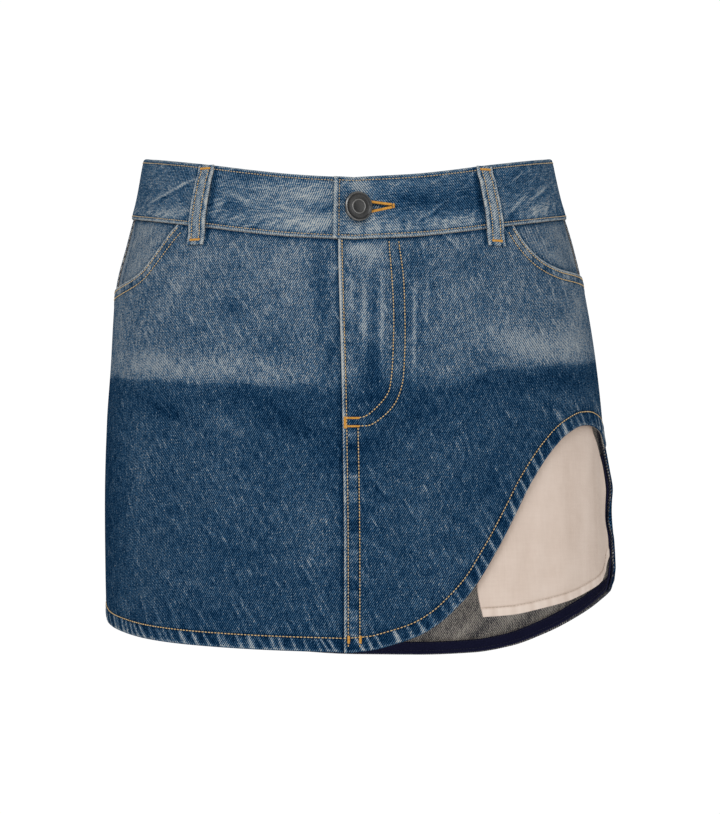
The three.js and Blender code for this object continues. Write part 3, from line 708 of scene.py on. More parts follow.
def wash_and_painted_crease_tone(angle, z):
    """Tone of the panels from their dye, wash and wear, with a few painted crease shadows, crease highlights
    and side shade from the table.
    """
    side = wrapped(angle)
    line, soft = dye_line(side), dye_soft(side)
    x = arc(angle, z)
    ragged = 0.3 * np.sin(x / 3.7) + 0.7 * np.sin(x / 9.1 + 1) + 0.2 * np.sin(x / 1.7 + 2)
    upper = smooth(line - soft, line + soft, z + ragged)
    tone = TONE_LOW + (TONE_HIGH - TONE_LOW) * upper
    tone += 0.06 * bump(z - line - 8, 9) * upper * smooth(8, 2, soft)
    tone -= 0.05 * bump(z - line + 9, 9) * (1 - upper)
    tone += patches(WASH_AND_PAINTED_CREASES, x, z, skirt_place)
    tone += patches(WHISKERS, x, z, skirt_place, 0.4)
    return tone


def pocket_right_edge(angle):
    """Height of the pocket mouth on the wearer's right, where angles are below 0."""
    return pocket_right(-angle)


# Lines of the edges on the flat cloth.
LINE_ARCH = edge_line(arch, -2.1, 90.42)
LINE_HEM_RIGHT = edge_line(hem_front_right, -90.42, 6)
LINE_HEM_BACK = edge_line(hem_back, 90.6, 269.42)
LINE_POCKET_LEFT = edge_line(pocket_left, POCKET_LEFT[0][0], 91)
LINE_POCKET_RIGHT = edge_line(pocket_right_edge, -91, -POCKET_RIGHT[0][0])
LINE_BAG_BOTTOM = edge_line(bag_bottom, BAG_BOTTOM[0][0], BAG_BOTTOM[-1][0])
FLY_HEIGHTS = np.arange(-345, -60, 3.0)
LINE_FLY = flat_line(fly_edge(FLY_HEIGHTS), FLY_HEIGHTS)
LINE_FLY_INNER = flat_line(*table_line(FLY_INNER))
LINE_FLY_OUTER = flat_line(*table_line(FLY_OUTER))
FREE_EDGE_HEIGHTS = np.arange(-292, -195, 2.0)
LINE_FREE_EDGE = flat_line(np.full(len(FREE_EDGE_HEIGHTS), SIDE_SEAM + SEAM_HALF_GAP), FREE_EDGE_HEIGHTS)
ROPING_ARCH = Roping(LINE_ARCH, 11, 9.0)
ROPING_RIGHT = Roping(LINE_HEM_RIGHT, 12, 7.0)
ROPING_BACK = Roping(LINE_HEM_BACK, 13, 7.0)


def painted_loop_shadow(angle, z):
    """Painted shadow: a darker tone on the cloth beside each belt loop."""
    change = 0
    for middle in LOOP_ANGLES.values():
        across = np.abs(wrapped(angle - middle)) * DEGREE_AT_BAND * np.ones(np.shape(z))
        change = change + bump(across - LOOP_WIDTH / 2 - 0.9, 1.7)
    return LOOP_SHADE * change * smooth(-57, -52, z - band_top(angle))


def hem_and_mouth(x, z, hem, roping, mouth, seed):
    """Relief and change of tone of a front panel at its hem and at its pocket mouth."""
    relief, tone = hem_look(*nearest(x, z, hem), roping)
    pocket = nearest(x, z, mouth)
    extra, change = seam_look(*pocket, *MOUTH_ROWS, seed=seed, ridge=0.62)
    near = smooth(12, 9, pocket[0])
    return relief + extra + 0.3 * near, tone + change * near


def front_right_look(angle, z):
    """Outer offset and tone of the front panel on the wearer's right."""
    x = arc(angle, z)
    relief, tone = hem_and_mouth(x, z, LINE_HEM_RIGHT, ROPING_RIGHT, LINE_POCKET_RIGHT, 3)
    # Painted shadow under the waistband's lower edge, and painted shadow beside the belt loops.
    under_band = seam_below_band(angle) - z
    tone = tone - 0.4 * bump(under_band, 1.9) * smooth(-50, -48, angle) + painted_loop_shadow(angle, z)
    # Painted shadow beside the fly's raised edge, which laps over this panel.
    beside_fly = x - np.interp(z, FLY_HEIGHTS, LINE_FLY[:, 0])
    tone = tone - 0.28 * bump(beside_fly + 0.5, 1.9)
    side = x - arc(-SIDE_SEAM, z)
    tone = tone + 0.16 * bump(side, 1.6)
    return relief, tone + wash_and_painted_crease_tone(angle, z)


def front_left_look(angle, z):
    """Outer offset and tone of the front panel on the wearer's left."""
    x = arc(angle, z)
    relief, tone = hem_and_mouth(x, z, LINE_ARCH, ROPING_ARCH, LINE_POCKET_LEFT, 4)
    fly = x - np.interp(z, FLY_HEIGHTS, LINE_FLY[:, 0])
    below = smooth(*FLY_END, z)
    edge, change = seam_look(fly, z, SEAM_STITCH, seed=5, ridge=0.9)
    seam, seam_change = seam_look(fly, z, SEAM_STITCH, SEAM_SECOND, seed=6, ridge=0.66)
    relief = relief + edge * (1 - below) + seam * below
    tone = tone + change * (1 - below) + seam_change * below
    for line in (LINE_FLY_INNER, LINE_FLY_OUTER):
        distance, along = nearest(x, z, line)
        puckers = np.sin(along / 1.3) * np.sin(along / 4.7 + 1)
        relief = relief - 0.28 * bump(distance, 0.8) + 0.1 * puckers * bump(distance, 2.6)
        tone = tone - 0.30 * bump(distance, 0.75) + 0.10 * puckers * bump(distance - 1.6, 1.8)
    # Painted shadow under the waistband's lower edge, and painted shadow beside the belt loops.
    under_band = seam_below_band(angle) - z
    tone = tone - 0.4 * bump(under_band, 1.9) * smooth(46, 44, angle) + painted_loop_shadow(angle, z)
    side = arc(SIDE_SEAM, z) - x
    tone = tone + 0.14 * bump(side, 1.6)
    lap = FLY_RISE * smooth(LAP_COLUMN + LAP_FADE, LAP_COLUMN, angle)
    return relief + lap, tone + wash_and_painted_crease_tone(angle, z)


def back_look(angle, z):
    """Outer offset and tone of the back panels."""
    x = arc(angle, z)
    relief, tone = hem_look(*nearest(x, z, LINE_HEM_BACK), ROPING_BACK)
    edge = nearest(x, z, LINE_FREE_EDGE)[0]
    relief = relief - 0.3 * bump(edge - FREE_EDGE_ROW, 0.9)
    tone = tone - 0.34 * bump(edge, 3.0) - 0.5 * bump(nearest(x, z, LINE_HEM_BACK)[0], 0.9)
    seam = x - arc(180, z)
    waver = np.sin(z / 1.9) * np.sin(z / 5.3)
    for row in BACK_ROWS:
        relief = relief - 0.28 * bump(seam - row, 0.8)
        tone = tone - 0.30 * bump(seam - row, 0.75)
    felled = smooth(0, 0.8, seam) * smooth(10.4, 9.6, seam)
    relief = relief + felled * (0.35 + 0.1 * waver)
    tone = tone + 0.46 * bump(seam - 0.4, 1.2) + 0.2 * felled * waver
    # Painted shadow under the waistband's lower edge, and painted shadow beside the belt loops.
    under_band = seam_below_band(angle) - z
    tone = tone - 0.4 * bump(under_band, 1.9) + painted_loop_shadow(angle, z)
    for end in (SIDE_SEAM, 360 - SIDE_SEAM):
        tone = tone + 0.12 * bump(x - arc(end, z), 1.6)
    return relief, tone + wash_and_painted_crease_tone(angle, z)


def back_inside(angle, z):
    """Tone of the back panels' wrong side: painted fold shading, and painted shade by the hem's fold and the
    free edge.
    """
    x = arc(angle, z)
    tone = INSIDE_TONE + patches(INSIDE_FOLD_SHADING, x, z, skirt_place)
    # Painted shade near the free edge and inside the hem's fold.
    tone = tone - 0.95 * smooth(19, 13, nearest(x, z, LINE_FREE_EDGE)[0])
    return tone - 0.6 * smooth(3.6, 2.8, nearest(x, z, LINE_HEM_BACK)[0])


def band_offset(turn):
    rise = LAP_RISE * smooth(26, 14, turn)
    dip = UNDERLAP_DIP * smooth(342, 353, turn)
    return BAND_OUT + rise - dip


def band_look(turn, z):
    """Outer offset and tone of the waistband."""
    down = z - band_top(turn)
    x = arc(turn, z)
    from_bottom = down + BAND_HEIGHT
    waver = np.sin(x / 1.4) * np.sin(x / 4.1) + 0.6 * np.sin(x / 9.7)
    relief = -0.25 * bump(down + BAND_TOP_ROW, 0.8) - 0.25 * bump(from_bottom - BAND_BOTTOM_ROW, 0.8)
    relief = relief + 0.16 * waver * bump(from_bottom - 6, 3.6) + 0.1 * waver * bump(down + 5, 3)
    tone = TONE_BAND + 0.46 * bump(from_bottom - 0.3, 1.1) + 0.30 * bump(down, 0.9)
    tone = tone - 0.32 * bump(from_bottom - 2.5, 0.75) - 0.26 * bump(down + BAND_TOP_ROW, 0.75)
    # Painted shadow beside the belt loops.
    tone = tone + 0.16 * waver * bump(from_bottom - 6.5, 4) + painted_loop_shadow(turn, z)
    end = x - arc(LAP_END, z)
    relief = relief + 0.3 * bump(end - 1.4, 1.3) - 0.25 * bump(end - LAP_ROW, 0.8)
    tone = tone + 0.50 * bump(end - 1.1, 1.6) - 0.34 * bump(end - LAP_ROW, 0.75)

    def place(angle, height):
        angle = angle if angle > LAP_END else angle + 360
        return float(arc(angle, band_top(angle) + height)), height

    tone = tone + patches(BAND_WASH, x, down, place) + patches(BAND_WHISKERS, x, down, place, 0.4)
    return band_offset(turn) + relief, tone


def gape(angle, z):
    side = np.abs(wrapped(angle))
    across = smooth(57, 80, side) * smooth(91, 82, side)
    return GAPE * across * smooth(-40, -58, z) * smooth(-124, -88, z)


def facing_look(angle, z):
    side = np.abs(wrapped(angle))
    x = arc(angle, z)
    right, left = (nearest(x, z, line)[0] for line in (LINE_POCKET_RIGHT, LINE_POCKET_LEFT))
    mouth = np.where(angle < 0, right, left)
    tone = 0.58 - 0.06 * (angle > 0) + 0.05 * np.sin(z / 4.3 + side / 5) + 0.06 * bump(side - 70, 9)
    # Painted shadow of the pocket mouth's edge on the facing.
    tone = tone - 0.34 * bump(mouth, 3.2)
    # Painted shadow under the waistband's lower edge.
    tone = tone - 0.3 * bump(seam_below_band(angle) - z, 1.9)
    # Painted shadow of a slit: a dark line on the wearer's right facing at 83.2 degrees; a paler strip at
    # 86.5 degrees.
    tone = tone - 0.22 * bump(side - 83.2, 0.9) * (angle < 0) + 0.14 * bump(side - 86.5, 1.6)
    return -DENIM - LAYER_GAP - gape(angle, z), tone


def bag_look(angle, z):
    """Outer offset and tone of a pocket bag. Its tone is painted shading that follows the folds, a paler seam
    with a dark line at its stitches, and a painted shadow along the arch's edge.
    """
    side = np.abs(angle)
    wave = BAG_WAVE * np.cos(side * 0.36 + z * 0.004) * smooth(-170, -210, z)
    x = arc(side, z)
    folds = patches(BAG_FOLDS, x, z, skirt_place)
    distance, along = nearest(x, z, LINE_BAG_BOTTOM)
    waver = np.sin(along / 1.6) * np.sin(along / 4.9)
    seam = smooth(BAG_SEAM + 0.4, BAG_SEAM - 0.4, distance)
    relief = seam * (0.28 + 0.12 * waver) - 0.22 * bump(distance - BAG_SEAM, 0.7)
    # Painted shading: lighter where the folds stand out, darker where they sink.
    tone = 0.5 + 0.25 * folds + 0.3 * seam - 0.8 * bump(distance - BAG_SEAM, 0.6) + 0.3 * waver * seam
    # Painted shadow of the front panel's arch edge on the bag.
    tone = tone - 0.45 * bump(nearest(x, z, LINE_ARCH)[0], 4.5) * (angle > 0)
    return BAG_OFFSET + wave - gape(angle, z) + folds * 0.8 + relief - 0.2, tone


# Meshes.
def spaced(start, end, cell, z, fine=()):
    """Angles from start to end about a cell apart, closer at both ends and between the fine angles."""
    reach = np.arange(start, end + 0.05, 0.05).clip(start, end)
    along = arc(reach, np.full(reach.shape, z))
    size = np.full(reach.shape, float(cell))
    for low, high, small in fine:
        size = np.minimum(size, small + (cell - small) * smooth(0, 3, np.maximum(low - reach, reach - high)))
    count = np.concatenate([[0], np.cumsum(np.diff(along) / size[1:])])
    steps = max(6, int(round(count[-1])))
    angles = np.interp(np.linspace(0, count[-1], steps + 1), count, reach)
    length = along - along[0]
    ends = [np.interp(step, length, reach) for step in EDGE_STEPS]
    ends += [np.interp(length[-1] - step, length, reach) for step in EDGE_STEPS]
    keep = (angles > ends[len(EDGE_STEPS) - 1]) & (angles < ends[-1])
    return np.sort(np.concatenate([angles[keep], ends]))


def steepness(edge, angles, most):
    """How much longer a distance is upright than square to an edge, up to a given limit."""
    run = arc(angles + 0.25, edge(angles)) - arc(angles - 0.25, edge(angles))
    slope = (edge(angles + 0.25) - edge(angles - 0.25)) / np.maximum(run, 1e-6)
    return np.minimum(np.sqrt(1 + slope**2), most)


def row_table(angles, top, bottom, hem):
    """Heights of the rows in each column, from the top edge to the bottom edge."""
    steep = steepness(bottom, angles, STEEPEST)
    near = np.array(EDGE_STEPS + (HEM_ROWS if hem else ()))
    low = bottom(angles)[:, None] + near * steep[:, None]
    high = top(angles)[:, None] - np.array(EDGE_STEPS)
    span = high[:, -1] - low[:, -1]
    count = max(3, int(round(span.max() / ROW)))
    share = np.linspace(0, 1, count + 1)[1:-1]
    middle = high[:, -1:] + (low[:, -1:] - high[:, -1:]) * share
    return np.concatenate([high, middle, low[:, ::-1]], axis=1)


def make_mesh(name, points, faces, materials, indices=None, uv=None, tone=None):
    """A smooth mesh object from points in millimetres."""
    mesh = bpy.data.meshes.new(name)
    mesh.from_pydata((np.asarray(points) * MM).tolist(), [], [list(map(int, face)) for face in faces])
    for material in materials:
        mesh.materials.append(material)
    mesh.polygons.foreach_set("use_smooth", np.ones(len(mesh.polygons), bool))
    if indices is not None:
        mesh.polygons.foreach_set("material_index", np.asarray(indices, np.int32))
    if uv is not None:
        corners = np.empty(len(mesh.loops), np.int32)
        mesh.loops.foreach_get("vertex_index", corners)
        layer = mesh.uv_layers.new(name="cloth")
        layer.data.foreach_set("uv", np.asarray(uv, np.float32)[corners].ravel())
    if tone is not None:
        attribute = mesh.attributes.new("tone", "FLOAT", "POINT")
        attribute.data.foreach_set("value", np.asarray(tone, np.float32))
    mesh.update()
    piece = bpy.data.objects.new(name, mesh)
    bpy.context.scene.collection.objects.link(piece)
    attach(piece, "root")
    return piece


def shell(name, angle, z, offset, thick, edge, uv, tone, materials, holes=None, under_tone=None):
    """A closed wall of cloth with round edges, under a face given by angles, heights and offsets."""
    under_tone = tone if under_tone is None else under_tone
    half = thick / 2
    inset = np.clip(1 - edge / np.maximum(half, 1e-6), 0, 1)
    bulge = half * np.sqrt(1 - inset**2)
    outer, inner = (cloth(angle, z, offset - down) for down in (half - bulge, half + bulge))
    n, m = z.shape
    ids = np.arange(n * m).reshape(n, m)
    rim = np.zeros(z.shape, bool)
    rim[[0, -1], :] = True
    rim[:, [0, -1]] = True
    under = np.where(rim, ids, -1)
    under[~rim] = n * m + np.arange((~rim).sum())
    points = np.concatenate([outer.reshape(-1, 3), inner[~rim]])
    both_uv = np.concatenate([uv.reshape(-1, 2), uv[~rim]])
    both_tone = np.concatenate([tone.ravel(), under_tone[~rim]])

    def quads(grid):
        return np.stack([grid[:-1, :-1], grid[:-1, 1:], grid[1:, 1:], grid[1:, :-1]], -1)

    cells = np.ones((n - 1, m - 1), bool) if holes is None else ~holes
    front = quads(ids)[cells]
    back = quads(under)[cells][:, ::-1]
    faces = [*front, *back]
    indices = [0] * len(front) + [1] * len(back)
    if holes is not None:
        for i, j in np.argwhere(holes):
            corners = [(i, j), (i, j + 1), (i + 1, j + 1), (i + 1, j)]
            sides = [(i - 1, j), (i, j + 1), (i + 1, j), (i, j - 1)]
            for k, (p, q) in enumerate(sides):
                if not holes[p, q]:
                    a, b = corners[k], corners[(k + 1) % 4]
                    faces.append((ids[a], ids[b], under[b], under[a]))
                    indices.append(1)
    return make_mesh(name, points, faces, materials, indices, both_uv, both_tone)


def cloth_uv(angle, z, middle=0):
    return np.stack([arc(angle, z) - arc(np.full(np.shape(angle), float(middle)), z), z], -1) * MM


def side_distance(x):
    """Distance of each grid point to the nearer of the first and the last column."""
    return np.minimum(np.abs(x - x[:1]), np.abs(x[-1:] - x))


def row_line(x, z, row):
    """One row of a grid as a line on the flat cloth."""
    return np.stack([x[:, row], z[:, row]], -1)


def panel(
    name, angles, top, bottom, look, thick, materials, hem=True, place=None, middle=0, inside=None,
):
    """A sheet of cloth between two edges. look gives its offset and tone, thick its thickness."""
    z = row_table(angles, top, bottom, hem)
    angle = np.broadcast_to(angles[:, None], z.shape)
    if place is not None:
        angle = place(angle, z)
    x = arc(angle, z)
    offset, tone = look(angle, z)
    hem_distance = nearest(x, z, row_line(x, z, -1))[0]
    edge = np.minimum(hem_distance, nearest(x, z, row_line(x, z, 0))[0])
    edge = np.minimum(edge, side_distance(x))
    depth = thick(angle, z, hem_distance)
    under_tone = inside(angle, z) if inside else tone
    uv = cloth_uv(angle, z, middle)
    return shell(name, angle, z, offset, depth, edge, uv, tone, materials, under_tone=under_tone)


def turned(angle, z, hem_distance):
    """Thickness of a panel with a turned hem."""
    return DENIM + (HEM_THICK - DENIM) * smooth(HEM_WIDTH + 0.4, HEM_WIDTH - 0.4, hem_distance)


# Materials.
LIGHT = 1.15
TWILL_PITCH = 1.25


def node(tree, kind, inputs=None, **settings):
    made = tree.nodes.new("ShaderNode" + kind)
    for key, value in settings.items():
        setattr(made, key, value)
    for key, value in (inputs or {}).items():
        if isinstance(value, bpy.types.NodeSocket):
            tree.links.new(value, made.inputs[key])
        else:
            made.inputs[key].default_value = value
    return made


def calc(tree, operation, a, b=0.0):
    return node(tree, "Math", {0: a, 1: b}, operation=operation).outputs[0]


def total(tree, *terms):
    """Sum of sockets, each with its own weight."""
    result = None
    for socket, weight in terms:
        term = calc(tree, "MULTIPLY", socket, weight)
        result = term if result is None else calc(tree, "ADD", result, term)
    return result


def noise(tree, coordinate, scale, detail=2.0, rough=0.5, stretch=(1, 1, 1), turn=0.0, seed=0.0):
    """Noise of a given number of cells a millimetre, from about -1 to 1."""
    if turn:
        rotation = (0, 0, math.radians(turn))
        coordinate = node(tree, "Mapping", {"Vector": coordinate, "Rotation": rotation}).outputs[0]
    place = {"Vector": coordinate, "Location": (seed, seed * 1.7, 0), "Scale": stretch}
    mapping = node(tree, "Mapping", place)
    made = node(
        tree, "TexNoise",
        {"Vector": mapping.outputs[0], "Scale": scale, "Detail": detail, "Roughness": rough},
        noise_dimensions="3D",
    )
    return calc(tree, "MULTIPLY", calc(tree, "SUBTRACT", made.outputs[0], 0.5), 3.0)


def start_material(name, rough, specular=0.03):
    material = bpy.data.materials.new(name)
    material.use_nodes = True
    tree = material.node_tree
    shader = tree.nodes["Principled BSDF"]
    shader.inputs["Roughness"].default_value = rough
    shader.inputs["Specular IOR Level"].default_value = specular
    uv = node(tree, "UVMap", uv_map="cloth").outputs[0]
    flat = node(tree, "VectorMath", {0: uv, 1: (1000, 1000, 1000)}, operation="MULTIPLY").outputs[0]
    return material, tree, shader, flat


def lines(tree, flat, pitch, slope, wobble):
    """Fine ridges on the cloth at a slope in degrees, as a sine wave."""
    x, y = (node(tree, "SeparateXYZ", {0: flat}).outputs[i] for i in (0, 1))
    turn = math.radians(slope)
    cycle = 2 * math.pi / pitch
    across = total(tree, (x, cycle * math.sin(turn)), (y, -cycle * math.cos(turn)), (wobble, 1.0))
    return calc(tree, "SINE", across)


def ramp(tree, value, stops, scale=1.0):
    made = node(tree, "ValToRGB", {0: value})
    elements = made.color_ramp.elements
    while len(elements) < len(stops):
        elements.new(0.5)
    for element, (at, colour) in zip(elements, stops):
        element.position = at
        element.color = (*(channel * scale for channel in colour), 1)
    return made.outputs[0]


def paint(tree, shader, value, stops, scale=1.0):
    """The base colour from a ramp over a value."""
    tree.links.new(ramp(tree, value, stops, scale), shader.inputs["Base Color"])


def relief(tree, shader, height, depth, strength):
    made = node(tree, "Bump", {"Height": height, "Distance": depth, "Strength": strength})
    tree.links.new(made.outputs[0], shader.inputs["Normal"])


INDIGO = [
    (0.0, (0.001, 0.009, 0.028)),
    (0.16, (0.004, 0.026, 0.070)),
    (0.34, (0.013, 0.056, 0.126)),
    (0.52, (0.038, 0.102, 0.186)),
    (0.70, (0.104, 0.176, 0.250)),
    (0.86, (0.235, 0.285, 0.325)),
    (1.0, (0.450, 0.462, 0.445)),
]
WRONG_SIDE = [
    (0.0, (0.014, 0.018, 0.034)),
    (0.3, (0.062, 0.062, 0.070)),
    (0.6, (0.185, 0.172, 0.158)),
    (1.0, (0.470, 0.440, 0.395)),
]


def denim_outside(name, twill_contrast, twill_slope):
    material, tree, shader, flat = start_material(name, 0.95, 0.0)
    tone = node(tree, "Attribute", attribute_name="tone").outputs["Fac"]
    wobble = noise(tree, flat, 0.22, 2, 0.5)
    twill = lines(tree, flat, TWILL_PITCH, twill_slope, calc(tree, "MULTIPLY", wobble, 1.1))
    slub = noise(tree, flat, 1.0, 0, 0.5, stretch=(0.9, 0.14, 1), seed=3)
    weft = noise(tree, flat, 1.0, 0, 0.5, stretch=(0.2, 0.8, 1), seed=19)
    fleck = noise(tree, flat, 1.05, 0, 0.5, seed=7)
    cloud = noise(tree, flat, 0.045, 3, 0.6, seed=11)
    blotch = noise(tree, flat, 0.17, 2, 0.6, seed=13)
    scratch = noise(tree, flat, 1.0, 1, 0.5, stretch=(0.56, 0.07, 1), turn=-32, seed=23)
    scratch = calc(tree, "MULTIPLY", calc(tree, "MAXIMUM", calc(tree, "SUBTRACT", scratch, 0.26), 0.0), 1.5)
    value = total(
        tree, (tone, 1.0), (twill, twill_contrast), (slub, 0.16), (weft, 0.06), (fleck, 0.27), (cloud, 0.08),
        (blotch, 0.13), (scratch, 0.35),
    )
    paint(tree, shader, value, INDIGO, 1 / LIGHT)
    relief(tree, shader, total(tree, (twill, 0.5), (slub, 0.4), (fleck, 0.5)), 0.0003, 0.6)
    return material


def denim_inside():
    material, tree, shader, flat = start_material("denim_inside", 0.95, 0.0)
    wobble = noise(tree, flat, 0.22, 2, 0.5, seed=2)
    twill = lines(tree, flat, TWILL_PITCH, 123, calc(tree, "MULTIPLY", wobble, 0.9))
    slub = noise(tree, flat, 1.0, 0, 0.5, stretch=(0.9, 0.14, 1), seed=5)
    fleck = noise(tree, flat, 0.9, 0, 0.5, seed=8)
    cloud = noise(tree, flat, 0.05, 3, 0.6, seed=12)
    tone = node(tree, "Attribute", attribute_name="tone").outputs["Fac"]
    value = total(tree, (twill, 0.34), (slub, 0.18), (fleck, 0.30), (cloud, 0.12), (tone, 0.6))
    value = calc(tree, "ADD", value, 0.50)
    paint(tree, shader, value, WRONG_SIDE, 1 / LIGHT * 1.25)
    relief(tree, shader, total(tree, (twill, 0.5), (fleck, 0.5)), 0.00028, 0.4)
    return material


def cotton():
    material, tree, shader, flat = start_material("cream_cotton", 0.92)
    tone = node(tree, "Attribute", attribute_name="tone").outputs["Fac"]
    wobble = noise(tree, flat, 0.3, 2, 0.5, seed=1)
    warp = lines(tree, flat, 0.62, 90, wobble)
    weft = lines(tree, flat, 0.62, 0, wobble)
    slub = noise(tree, flat, 1.0, 3, 0.6, stretch=(0.7, 0.06, 1), seed=4)
    cross = noise(tree, flat, 1.0, 3, 0.6, stretch=(0.06, 0.7, 1), seed=6)
    cloud = noise(tree, flat, 0.05, 3, 0.6, seed=9)
    value = total(tree, (tone, 0.5), (warp, 0.04), (weft, 0.04), (slub, 0.06), (cross, 0.05), (cloud, 0.10))
    value = calc(tree, "ADD", value, 0.25)
    stops = [(0.0, (0.40, 0.30, 0.235)), (0.5, (0.585, 0.480, 0.410)), (1.0, (0.73, 0.635, 0.565))]
    paint(tree, shader, value, stops, 1 / LIGHT * 1.18)
    relief(tree, shader, total(tree, (warp, 0.4), (weft, 0.4), (slub, 0.5), (cross, 0.4)), 0.0002, 0.3)
    return material


def navy_tape():
    material, tree, shader, flat = start_material("navy_tape", 0.8, 0.08)
    wobble = noise(tree, flat, 0.5, 2, 0.5, seed=1)
    twill = lines(tree, flat, 0.8, 60, wobble)
    fleck = noise(tree, flat, 0.9, 3, 0.6, seed=5)
    value = calc(tree, "ADD", total(tree, (twill, 0.14), (fleck, 0.2)), 0.45)
    stops = [(0.0, (0.002, 0.002, 0.010)), (0.5, (0.008, 0.009, 0.032)), (1.0, (0.035, 0.038, 0.095))]
    paint(tree, shader, value, stops, 1 / LIGHT * 1.2)
    relief(tree, shader, total(tree, (twill, 0.5), (fleck, 0.4)), 0.0002, 0.4)
    return material


def thread(name, colour, spread=0.25):
    """Twisted thread. Its UVs run along each stitch."""
    material, tree, shader, flat = start_material(name, 0.6, 0.15)
    twist = lines(tree, flat, 0.55, 35, noise(tree, flat, 0.8, 1, 0.5))
    soil = noise(tree, flat, 0.13, 3, 0.7, seed=3)
    value = calc(tree, "ADD", total(tree, (twist, 0.16), (soil, 0.3)), 0.5)
    dark = tuple(channel * (1 - 2.2 * spread) for channel in colour)
    pale = tuple(min(1, channel * (1 + spread) + 0.03) for channel in colour)
    paint(tree, shader, value, [(0.0, dark), (0.5, colour), (1.0, pale)], 1 / LIGHT)
    relief(tree, shader, twist, 0.00015, 0.5)
    return material


def gunmetal(name, dark, pale, roughness):
    material = bpy.data.materials.new(name)
    material.use_nodes = True
    tree = material.node_tree
    shader = tree.nodes["Principled BSDF"]
    shader.inputs["Metallic"].default_value = 1.0
    place = node(tree, "TexCoord").outputs["Object"]
    scuffs = node(tree, "TexNoise", {"Vector": place, "Scale": 900.0, "Detail": 4.0, "Roughness": 0.7})
    worn = node(tree, "TexNoise", {"Vector": place, "Scale": 160.0, "Detail": 3.0, "Roughness": 0.6})
    value = total(tree, (scuffs.outputs[0], 0.5), (worn.outputs[0], 0.5))
    paint(tree, shader, value, [(0.3, dark), (0.7, pale)])
    tree.links.new(calc(tree, "MULTIPLY", value, roughness), shader.inputs["Roughness"])
    relief(tree, shader, scuffs.outputs[0], 0.00004, 0.3)
    return material


OUTSIDE = denim_outside("denim_outside", 0.38, 57)
BAND_OUTSIDE = denim_outside("denim_band", 0.30, 38)
INSIDE = denim_inside()
COTTON_CLOTH = cotton()
TAPE = navy_tape()
GOLD = thread("gold_thread", (0.70, 0.50, 0.25))
TAN = thread("tan_thread", (0.54, 0.42, 0.26))
ORANGE = thread("orange_thread", (0.68, 0.33, 0.055))
NAVY = thread("navy_thread", (0.022, 0.024, 0.05))
CREAM = thread("cream_thread", (0.50, 0.41, 0.33), 0.12)
METAL = gunmetal("gunmetal", (0.030, 0.031, 0.033), (0.070, 0.069, 0.067), 0.75)
# Lighter metal on the ring's and the rim's tops: rubbed metal and a painted highlight.
RUBBED_AND_HIGHLIT_METAL = gunmetal("gunmetal_rubbed_and_highlit", (0.10, 0.10, 0.099), (0.21, 0.207, 0.20), 0.45)
DENIM_SIDES = [OUTSIDE, INSIDE]
BAND_SIDES = [BAND_OUTSIDE, INSIDE]

# Panels.
def finish_piece(piece, node_name):
    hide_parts(node_name)


right_angles = spaced(-SIDE_SEAM + SEAM_HALF_GAP, FLY_UNDERLAP_END, CELL, REFERENCE_Z, [(-7, 1, 1.0)])
left_angles = spaced(
    FLY_EDGE[-1][1], SIDE_SEAM - SEAM_HALF_GAP, CELL, REFERENCE_Z, [(-3.7, 13, 1.0), (25, 54, FINE_CELL)]
)
back_left_angles = spaced(SIDE_SEAM + SEAM_HALF_GAP, 180, CELL, REFERENCE_Z)
back_right_angles = spaced(180, 360 - SIDE_SEAM - SEAM_HALF_GAP, CELL, REFERENCE_Z)


def top_front_right(angle):
    return np.where(angle < -POCKET_RIGHT[0][0], pocket_right_edge(angle), seam_below_band(angle))


def top_front_left(angle):
    return np.where(angle > POCKET_LEFT[0][0], pocket_left(angle), seam_below_band(angle))


def bottom_front_right(angle):
    return np.where(angle > UNDERLAP_START, arch(angle) + 2, hem_front_right(angle))


def fly_place(angle, z):
    """Brings the columns next to the fly's edge to where that edge is at each height."""
    near = smooth(4, FLY_EDGE[-1][1], angle)
    return angle + near * (fly_edge(z) - FLY_EDGE[-1][1])


finish_piece(
    panel(
        "front_right_cloth", right_angles, top_front_right, bottom_front_right, front_right_look, turned,
        DENIM_SIDES,
    ),
    "front_panel_right",
)
finish_piece(
    panel(
        "front_left_cloth", left_angles, top_front_left, arch, front_left_look, turned, DENIM_SIDES,
        place=fly_place,
    ),
    "front_panel_left",
)


def back_left_thick(angle, z, hem_distance):
    edge = arc(angle, z) - arc(SIDE_SEAM, z)
    return np.maximum(turned(angle, z, hem_distance), turned(angle, z, edge) * smooth(-190, -197, z))


finish_piece(
    panel(
        "back_left_cloth", back_left_angles, seam_below_band, hem_back, back_look, back_left_thick,
        DENIM_SIDES, inside=back_inside, middle=180,
    ),
    "back_panel_left",
)
finish_piece(
    panel(
        "back_right_cloth", back_right_angles, seam_below_band, hem_back, back_look, turned,
        DENIM_SIDES, inside=back_inside, middle=180,
    ),
    "back_panel_right",
)


def plain(thickness):
    """The same thickness everywhere."""

    def thick(angle, z, hem_distance):
        return np.full(np.shape(z), float(thickness))

    return thick


def facing(side, mouth, mouth_start, node_name):
    angles = spaced(mouth_start - FACING_LEAD, FACING_SIDE, CELL, -70)
    if side < 0:
        angles = -angles[::-1]

    def bottom(angle):
        return mouth(np.abs(angle)) - FACING_UNDER

    piece = panel(
        node_name + "_cloth", angles, seam_below_band, bottom, facing_look, plain(FACING_THICK), DENIM_SIDES,
        hem=False, middle=60 * side,
    )
    finish_piece(piece, node_name)


facing(1, pocket_left, POCKET_LEFT[0][0], "pocket_facing_left")
facing(-1, pocket_right, POCKET_RIGHT[0][0], "pocket_facing_right")


